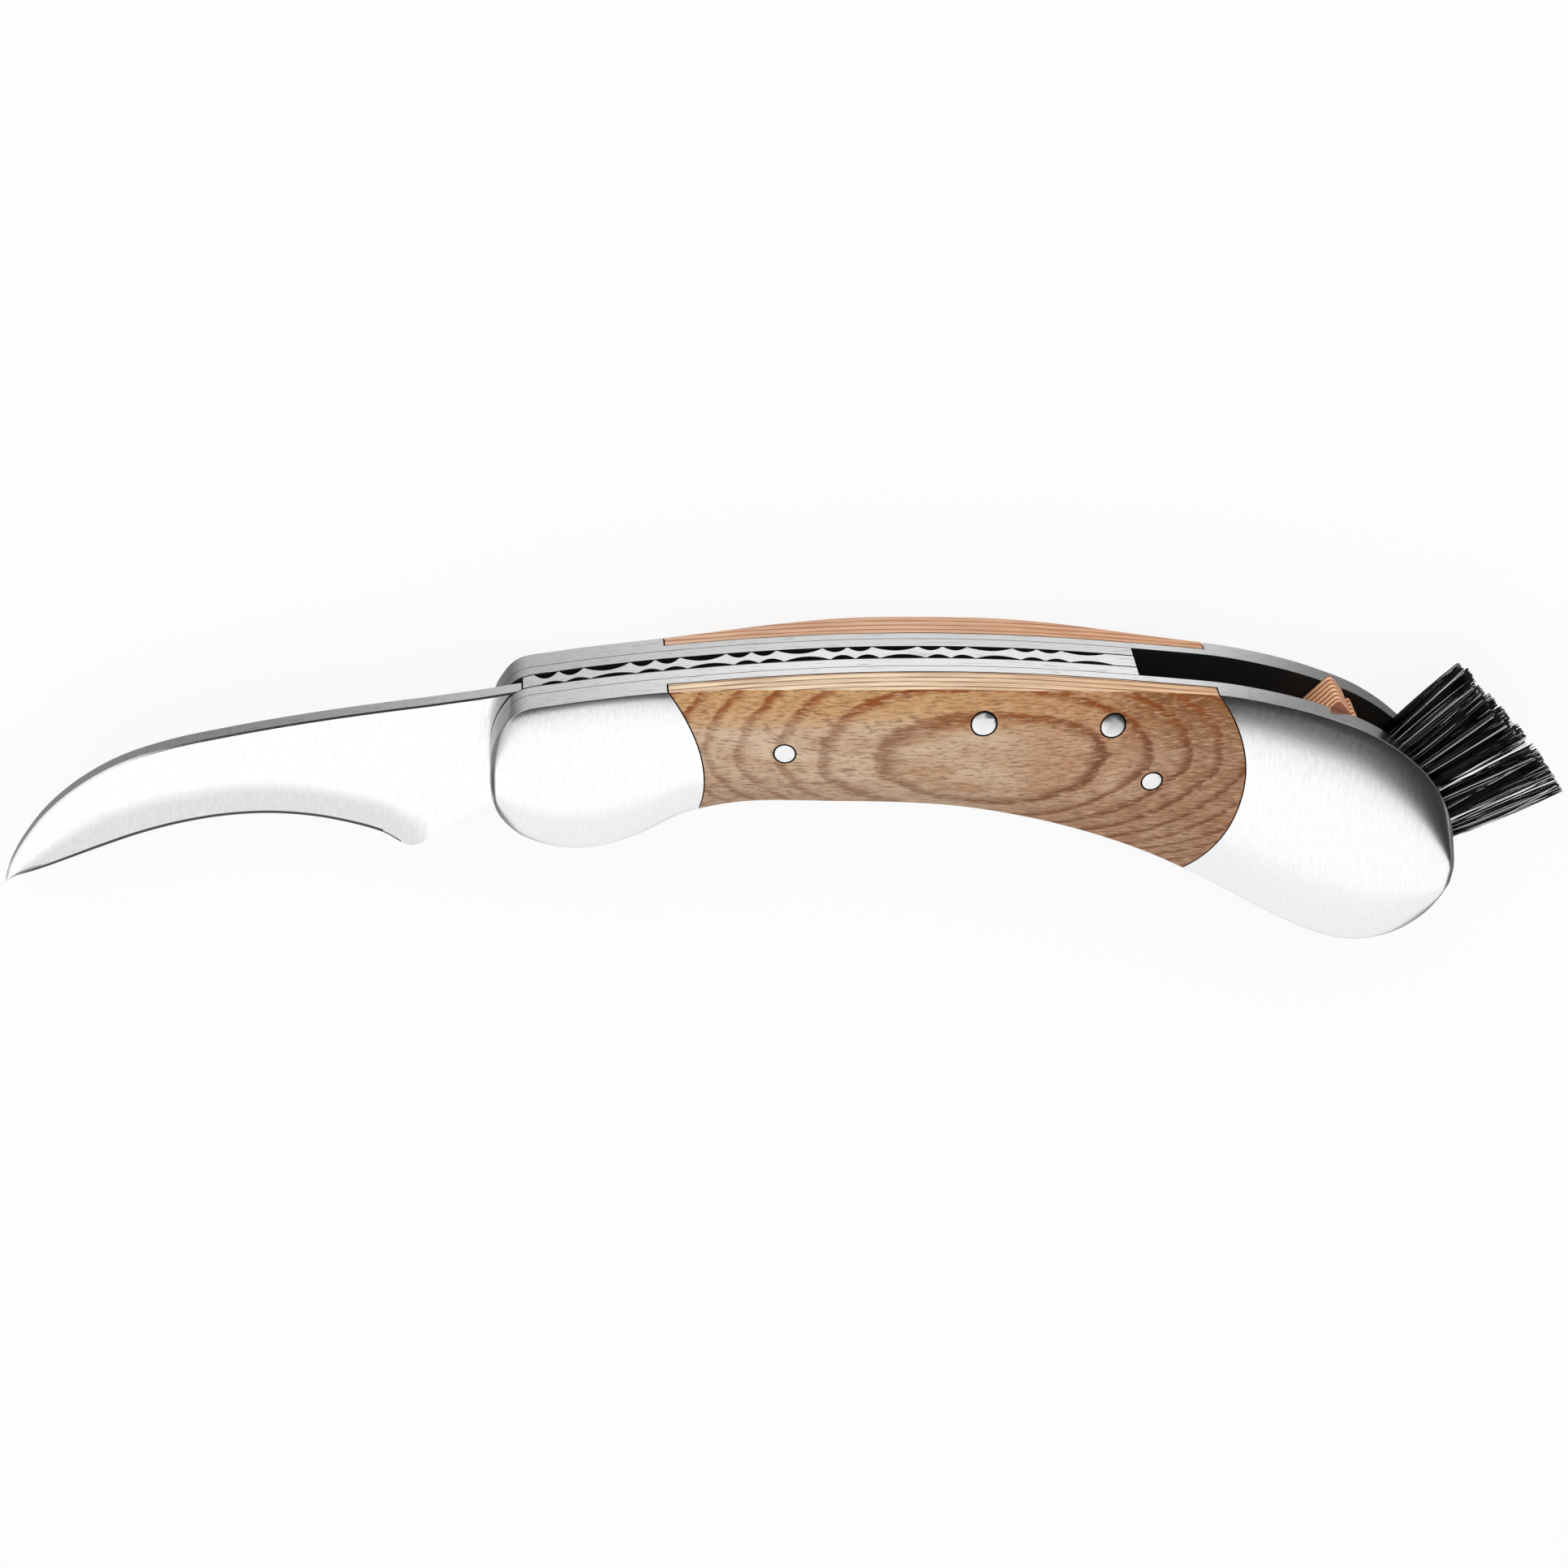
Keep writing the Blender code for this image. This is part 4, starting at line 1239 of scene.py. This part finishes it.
@dataclass
class Brush:
    """The fold-out brush: a laminated block and tufts of loose black hair.

    Attributes hold its sizes. The block's places run ahead along the hair and up or down beside it.
    The sparse tufts, given by column and row, have lost most of their strands. Scatters are how far
    single strands differ, as standard deviations.
    """

    handle: Handle
    angle: float = math.radians(40)
    half: float = 2.95 * MM
    ahead: float = 4.5 * MM
    behind: float = 7.0 * MM
    up: float = 16.1 * MM
    slant: float = math.radians(12)
    down: float = 13.3 * MM
    corner: float = 0.9 * MM
    heel: float = 3.0 * MM
    soft: float = 0.3 * MM
    crisp: float = 0.25 * MM
    notch_width: float = 1.5 * MM
    notch_depth: float = 1.8 * MM
    notch_place: float = 3.2 * MM
    notch_slant: float = 0.7
    tooth: float = 0.8 * MM
    recess: float = 2.6 * MM
    margin: float = 11.8 * MM
    hair_length: float = 14.4 * MM
    hair_gain: float = 1.0 * MM
    hair_root: float = 0.5 * MM
    fan_up: float = math.radians(12)
    fan_down: float = math.radians(11)
    columns: int = 10
    rows: int = 3
    tuft: int = 56
    sparse: tuple[tuple[int, int], ...] = ((7, 0), (6, 1), (5, 2), (8, 2), (9, 1))
    sparse_part: int = 9
    inset: float = 0.9 * MM
    row_inset: float = 1.0 * MM
    shift: float = 0.45 * MM
    tuft_scatter: float = 0.2 * MM
    lean_scatter: float = 0.035
    root_spread: float = 0.8 * MM
    tip_spread: float = 1.0 * MM
    cut_scatter: float = 0.16 * MM
    tip_scatter: tuple[float, float] = (0.22 * MM, 0.15 * MM)
    bow_scatter: tuple[float, float] = (0.2 * MM, 0.15 * MM)
    loose: float = 0.05
    loose_lean: float = -0.14
    loose_bow: float = 2.5
    loose_scatter: float = 0.9 * MM
    radius: float = 0.10 * MM
    taper: float = 0.3
    bright_glint_part: float = 0.11
    dull_glint_part: float = 0.09
    bright_glints: tuple[float, float] = (0.7, 1.0)
    dull_glints: tuple[float, float] = (0.03, 0.2)
    seed: int = 11

    CORNER_STEPS, HAIR_SIDES, HAIR_JOINTS = 8, 3, 5

    def place(self, forward: float, sideways: float, z: float) -> Vector:
        """Returns a place forward along the hair, sideways from its upper edge down, and z up."""
        flat = Matrix.Rotation(self.angle, 2) @ Vector((forward, -sideways))
        return self.handle.brush_pivot + Vector((*flat, z))

    def block_outline(self) -> list[Vector]:
        """Draws the block seen from the side, with its corners rounded.

        Returns:
            The outline's points on the knife.
        """
        notch = -self.up + self.notch_place
        tooth = notch + self.notch_width + self.tooth
        step = -self.up + self.margin
        slanted = (self.ahead + self.behind) * math.tan(self.slant)
        corners = (
            (self.ahead, -self.up, self.corner),
            (self.ahead, notch, self.soft),
            (self.ahead - self.notch_depth, notch + self.notch_width * self.notch_slant, 0),
            (self.ahead, notch + self.notch_width, self.crisp),
            (self.ahead, tooth, self.crisp),
            (self.ahead - self.recess, tooth, 0),
            (self.ahead - self.recess, step, 0),
            (self.ahead, step, 0),
            (self.ahead, self.down, self.soft),
            (0, self.down - self.heel / 2, self.heel / 2),
            (-self.behind, self.heel, self.heel),
            (-self.behind, -self.up + slanted, self.heel),
        )
        outline = []
        for index, (x, y, radius) in enumerate(corners):
            here = Vector((x, y))
            before, after = (
                Vector(corners[(index + way) % len(corners)][:2]) - here for way in (-1, 1)
            )
            start, end = here + before.normalized() * radius, here + after.normalized() * radius
            count = self.CORNER_STEPS if radius else 0
            for t in (n / max(1, count) for n in range(count + 1)):
                outline.append(start * (1 - t) ** 2 + here * 2 * t * (1 - t) + end * t**2)
        return [self.place(*point, 0).to_2d() for point in outline]

    def build_block(self, wood: Material) -> None:
        """Models the block with its pin's hole.

        Args:
            wood: its wood.
        """
        handle, z = self.handle, self.handle.brush_pivot.z
        block = Bench.prism("brush_block_wood", self.block_outline(), z - self.half, z + self.half)
        handle.bore(block, handle.brush_pivot.to_2d(), handle.pivot_hole)
        Bench.round_edges(block, self.soft, 3, 60)
        dress(block, wood)
        Bench.smooth(block)
        hand_over(block, "brush", "block_wood", "brush_block")

    def strand(self, stray: random.Random, tuft: Vector, lean: float, length: float) -> list[Vector]:
        """Bends one strand its own way.

        Args:
            stray: the source of each strand's own way.
            tuft: the tuft's place sideways and in height.
            lean: how far the tuft leans down.
            length: the tuft's length.

        Returns:
            The places along the strand, as forward, sideways and height.
        """
        turn, spread = stray.uniform(0, math.tau), math.sqrt(stray.random())
        off = Vector((math.cos(turn), math.sin(turn))) * spread
        length -= abs(stray.gauss(0, self.cut_scatter))
        tip = tuft + off * self.tip_spread + Vector([stray.gauss(0, s) for s in self.tip_scatter])
        tip.x += length * math.tan(lean)
        bow = Vector([stray.gauss(0, s) for s in self.bow_scatter])
        if lean > self.loose_lean and stray.random() < self.loose:
            bow *= self.loose_bow
            tip.x += stray.gauss(0, self.loose_scatter)
        root, limit = tuft + off * self.root_spread, self.half - self.radius
        places = []
        for t in (joint / self.HAIR_JOINTS for joint in range(self.HAIR_JOINTS + 1)):
            side = root.lerp(tip, t) + bow * 4 * t * (1 - t)
            forward = self.ahead - self.hair_root + (length + self.hair_root) * t
            places.append(Vector((forward, side.x, max(-limit, min(limit, side.y)))))
        return places

    def paleness(self, stray: random.Random) -> float:
        """Draws how pale a strand is: most are black; some dark grey and some nearly white ones are painted
        highlights.

        Args:
            stray: the source of each strand's own way.

        Returns:
            Its paleness, from 0 to 1.
        """
        chance = stray.random()
        if chance < self.bright_glint_part:
            return stray.uniform(*self.bright_glints)
        return stray.uniform(*self.dull_glints) if chance < self.bright_glint_part + self.dull_glint_part else 0.0

    def build_hair(self, hair: BristleHair) -> None:
        """Models the hair strand by strand: bent, gathered in tufts, and cut to a ragged end.

        Args:
            hair: its finish.
        """
        stray = random.Random(self.seed)
        work = bmesh.new()
        shade = work.verts.layers.float.new(hair.shade)
        start, end, last = -self.up + self.margin + self.inset, self.down - self.inset, self.columns - 1
        for column in range(self.columns):
            share = column / last
            shift = stray.uniform(-self.shift, self.shift) if 0 < column < last else 0
            lean = -self.fan_up + (self.fan_up + self.fan_down) * share - shift / self.hair_length
            for row in range(self.rows):
                z = (self.half - self.row_inset) * (2 * row / (self.rows - 1) - 1)
                tuft = Vector((start + (end - start) * share + shift, z))
                length = self.hair_length + self.hair_gain * share + stray.gauss(0, self.tuft_scatter)
                own = lean + (stray.gauss(0, self.lean_scatter) if column < last else 0)
                parts = self.sparse_part if (column, row) in self.sparse else 1
                for _ in range(self.tuft // parts):
                    strand = self.strand(stray, tuft, own, length)
                    self.add_strand(work, strand, shade, self.paleness(stray))
        bmesh.ops.recalc_face_normals(work, faces=work.faces)
        mesh = bpy.data.meshes.new("brush_hair")
        work.to_mesh(mesh)
        work.free()
        obj = bpy.data.objects.new("brush_hair", mesh)
        bpy.context.scene.collection.objects.link(obj)
        mesh.shade_smooth()
        dress(obj, hair.build())
        hand_over(obj, "brush", "bristle", "bristles")

    def add_strand(
        self, work: bmesh.types.BMesh, places: Sequence[Vector], shade: bmesh.types.BMLayerItem, pale: float
    ) -> None:
        """Adds one tapering strand to the hair.

        Args:
            work: the mesh in the making.
            places: the places along the strand.
            shade: the layer that holds each strand's paleness.
            pale: the strand's own.
        """
        sides = range(self.HAIR_SIDES)
        rings = []
        for joint, (forward, sideways, z) in enumerate(places):
            thick = self.radius * (1 - self.taper * joint / self.HAIR_JOINTS)
            ring = []
            for turn in (math.tau * corner / self.HAIR_SIDES for corner in sides):
                place = self.place(forward, sideways + thick * math.cos(turn), z + thick * math.sin(turn))
                vertex = work.verts.new(place)
                vertex[shade] = pale
                ring.append(vertex)
            rings.append(ring)
        for below, above in zip(rings, rings[1:]):
            for corner in sides:
                after = (corner + 1) % self.HAIR_SIDES
                work.faces.new((below[corner], below[after], above[after], above[corner]))
        work.faces.new(rings[-1])
        work.faces.new(list(reversed(rings[0])))


@dataclass(frozen=True)
class Studio:
    """The pale floor, the soft light and the camera.

    The camera's lens and turn were worked out from the flat layers of the photographed handle.

    Attributes:
        camera_place: where the camera is.
        right: the camera's own X axis.
        up: its Y axis.
        back: its Z axis.
        lens: its focal length in mm, on a 36 mm sensor.
        sky: strength of the sky that lights the knife, where 1 is what the camera sees.
        floor_glow: share of the floor that glows white for the camera and the steel, and keeps no shadow.
        floor_reach: the floor's length and width.
        lamp_distance: how far the lamps are from the knife.
        card: outline of the dark card.
        card_height: its height over the floor.
    """

    camera_place: tuple[float, float, float] = (-0.0381, 0.2252, 0.3234)
    right: tuple[float, float, float] = (0.9956, 0.0545, 0.0760)
    up: tuple[float, float, float] = (0.0, 0.8126, -0.5830)
    back: tuple[float, float, float] = (-0.0935, 0.5804, 0.8090)
    lens: float = 68.94
    sky: float = 0.70
    floor_glow: float = 0.88
    floor_reach: float = 4.0
    lamp_distance: float = 0.75
    card: tuple[tuple[float, float], ...] = (
        (-0.3, 0.06), (-0.02, 0.047), (0.035, 0.02), (0.1, 0.002), (0.14, -0.04), (0.245, -0.12),
        (1.5, -1.0), (1.5, 0.9), (-0.3, 0.9),
    )
    card_height: float = 0.2

    def build(self) -> None:
        """Makes the stage."""
        self.build_floor()
        self.build_sky()
        self.hang_lamp("belly_lamp", (0.05, -0.35, 0.935), (1.1, 0.715), 0.42)
        self.hang_lamp("spine_lamp", (-0.1, 0.75, 0.66), (0.9, 0.5), 1.8).visible_glossy = False
        self.hang_card()
        self.build_camera()
        bpy.context.scene.view_settings.view_transform = "Standard"

    def build_floor(self) -> None:
        """Lays a plain pale floor. For the steel it glows as a painted pool of light under the middle of
        the knife only: a painted reflection.
        """
        Bench.clear()
        bpy.ops.mesh.primitive_plane_add(size=self.floor_reach, location=(0, 0, 0))
        floor = bpy.context.active_object
        floor.name = "floor"
        finish = Finish("pale_floor")
        add = finish.add
        finish.done({"Base Color": "#fafafa", "Roughness": 0.9, "Specular IOR Level": 0.1})
        # Seen in the steel, the floor glows bright under the knife's middle and dimmer towards both ends:
        # painted reflection.
        front = add("MapRange", finish.along, -0.085, 0.008, 0.2, 1.0, **SMOOTH)
        rear = add("MapRange", finish.along, 0.045, 0.075, 1.0, 0.27, **SMOOTH)
        pool = add("Math", front, rear, operation="MULTIPLY")
        dim = add("Math", 1.0, pool, operation="SUBTRACT")
        dim = add("Math", dim, add("LightPath", out="Is Glossy Ray"), operation="MULTIPLY")
        glow = add("Emission", "#ffffff", add("Math", 1.0, dim, operation="SUBTRACT"))
        seen = add("Math", self.seen(add), self.floor_glow, operation="MULTIPLY")
        mixed = add("MixShader", seen, finish.shader.outputs[0], glow)
        plug(finish.tree.nodes["Material Output"].inputs["Surface"], mixed)
        dress(floor, finish.material)

    @staticmethod
    def seen(add: Callable[..., Socket]) -> Socket:
        """Returns 1 for what the camera and the steel see, and 0 for what lights the knife."""
        rays = add("LightPath").node.outputs
        return add("Math", rays["Is Camera Ray"], rays["Is Glossy Ray"], operation="MAXIMUM")

    def build_sky(self) -> None:
        """Sets an even pale sky."""
        world = bpy.data.worlds.new("sky")
        world.use_nodes = True
        bpy.context.scene.world = world
        add = partial(add_node, world.node_tree)
        background = world.node_tree.nodes["Background"]
        plug(background.inputs["Color"], "#ffffff")
        strength = add("Math", self.seen(add), 1 - self.sky, self.sky, operation="MULTIPLY_ADD")
        plug(background.inputs["Strength"], strength)

    def hang_lamp(
        self, name: str, aim: tuple[float, float, float], size: tuple[float, float], power: float
    ) -> Solid:
        """Hangs one large soft lamp that faces the knife.

        Args:
            name: the lamp's name.
            aim: the direction that it hangs in.
            size: its length and width.
            power: its power in watts.

        Returns:
            The lamp.
        """
        data = bpy.data.lights.new(name, "AREA")
        data.shape = "RECTANGLE"
        data.size, data.size_y = size
        data.energy = power
        lamp = bpy.data.objects.new(name, data)
        bpy.context.scene.collection.objects.link(lamp)
        way = Vector(aim).normalized()
        lamp.location = way * self.lamp_distance
        lamp.rotation_mode = "QUATERNION"
        lamp.rotation_quaternion = way.to_track_quat("Z", "Y")
        return lamp

    def hang_card(self) -> None:
        """Hangs a dark card over the brush's end, which only the steel reflects: it paints dark reflections
        on the steel.
        """
        outline = [Vector(corner) for corner in self.card]
        card = Bench.prism("dark_card", outline, self.card_height, self.card_height + MM)
        dress(card, Finish("dark_card").done({"Base Color": "#202020"}))
        card.visible_camera = card.visible_diffuse = card.visible_shadow = False

    def build_camera(self) -> None:
        """Sets the camera at the photograph's viewing angle."""
        data = bpy.data.cameras.new("camera")
        data.lens, data.sensor_width = self.lens, 36
        data.clip_start, data.clip_end = 0.01, 20
        camera = bpy.data.objects.new("camera", data)
        bpy.context.scene.collection.objects.link(camera)
        axes = Matrix((self.right, self.up, self.back)).transposed().to_4x4()
        camera.matrix_world = Matrix.Translation(self.camera_place) @ axes
        bpy.context.scene.camera = camera


def joint_place(name: str) -> Vector:
    """Returns the place of a joint's axis, from the frame."""
    return Vector(next(joint["pos_m"] for joint in FRAME["joints"] if joint["name"] == name))


def main() -> None:
    """Builds the stage and the knife, piece by piece."""
    logging.basicConfig(level=logging.INFO, format="%(message)s")
    Studio().build()
    handle = Handle(joint_place("blade_hinge"), joint_place("brush_hinge"))
    middle, bed = handle.pivot.z, handle.plate_inside + TOUCH
    core = handle.spring_half + handle.far_gap + TOUCH

    # Belt-brushed stainless steel with a soft sheen. The side on the floor takes a darker, slightly rougher
    # copy: the darker colour is painted shade.
    satin = SatinSteel("satin_steel", "#f1f1f1", 0.24, middle, bed, ends=0.8)
    shaded_satin = replace(satin, name="shaded_satin_steel", colour="#dcdcdc", roughness=0.26)
    liner = SatinSteel("liner_steel", "#f2f2f2", 0.24, middle, core, ends=0.8)
    shaded_liner = replace(liner, name="shaded_liner_steel", colour="#dedede", roughness=0.26)
    # Ground spring steel, and a black matt finish on the faces cut with file or saw and inside the handle:
    # painted shade.
    spring = SatinSteel("spring_steel", "#f0f0f0", 0.24)
    raw = SatinSteel("shade_black_steel", "#141414", 0.6, middle, bed).build()
    # Hollow-ground blade steel, glossier, with wheel marks, its grind band painted a little darker as
    # painted shade. Its whetted edge is painted dark grey: a thin line of painted dark reflection.
    blade = SatinSteel("blade_steel", "#f2f2f2", 0.2, middle, marks=1.7, grind_shade_within=1.08 * MM)
    whetted = SatinSteel("dark_painted_bevel", "#4c4c4c", 0.34)
    # Drawn steel rod, rubbed down with the handle: bright spots with hardly a mark.
    pin = SatinSteel("pin_steel", "#e6e6e6", 0.28, marks=0.25).build()
    eye, ring, lean = (21.7 * MM, 11.4 * MM), (15.8 * MM, 7.2 * MM), math.radians(-3)
    wood = LaminatedWood("laminated_wood", eye, ring, lean)
    # The left scale takes a darker, redder copy of the wood: painted shade on the side that lies on the
    # floor.
    shaded_redder_wood = replace(wood, name="shaded_redder_laminated_wood", cream="#e6bd9c", glue="#96502e")

    steels, liners, woods = (
        {Side.RIGHT: right.build(), Side.LEFT: left.build()}
        for right, left in ((satin, shaded_satin), (liner, shaded_liner), (wood, shaded_redder_wood))
    )
    handle.build(steels, liners, woods, raw, pin)
    Spring(handle).build(spring.build(), raw)
    Blade(handle).build(blade.build(), whetted.build())
    brush = Brush(handle)
    brush.build_block(BlockWood("block_wood").build())
    brush.build_hair(BristleHair("bristle_hair"))
    for name in ("blade_pivot_pin", "brush_pivot_pin"):
        dress(FRAME["nodes"][name], pin)
        LOG.info("%s: kept, dressed as pin steel", name)


if __name__ == "__main__":
    main()
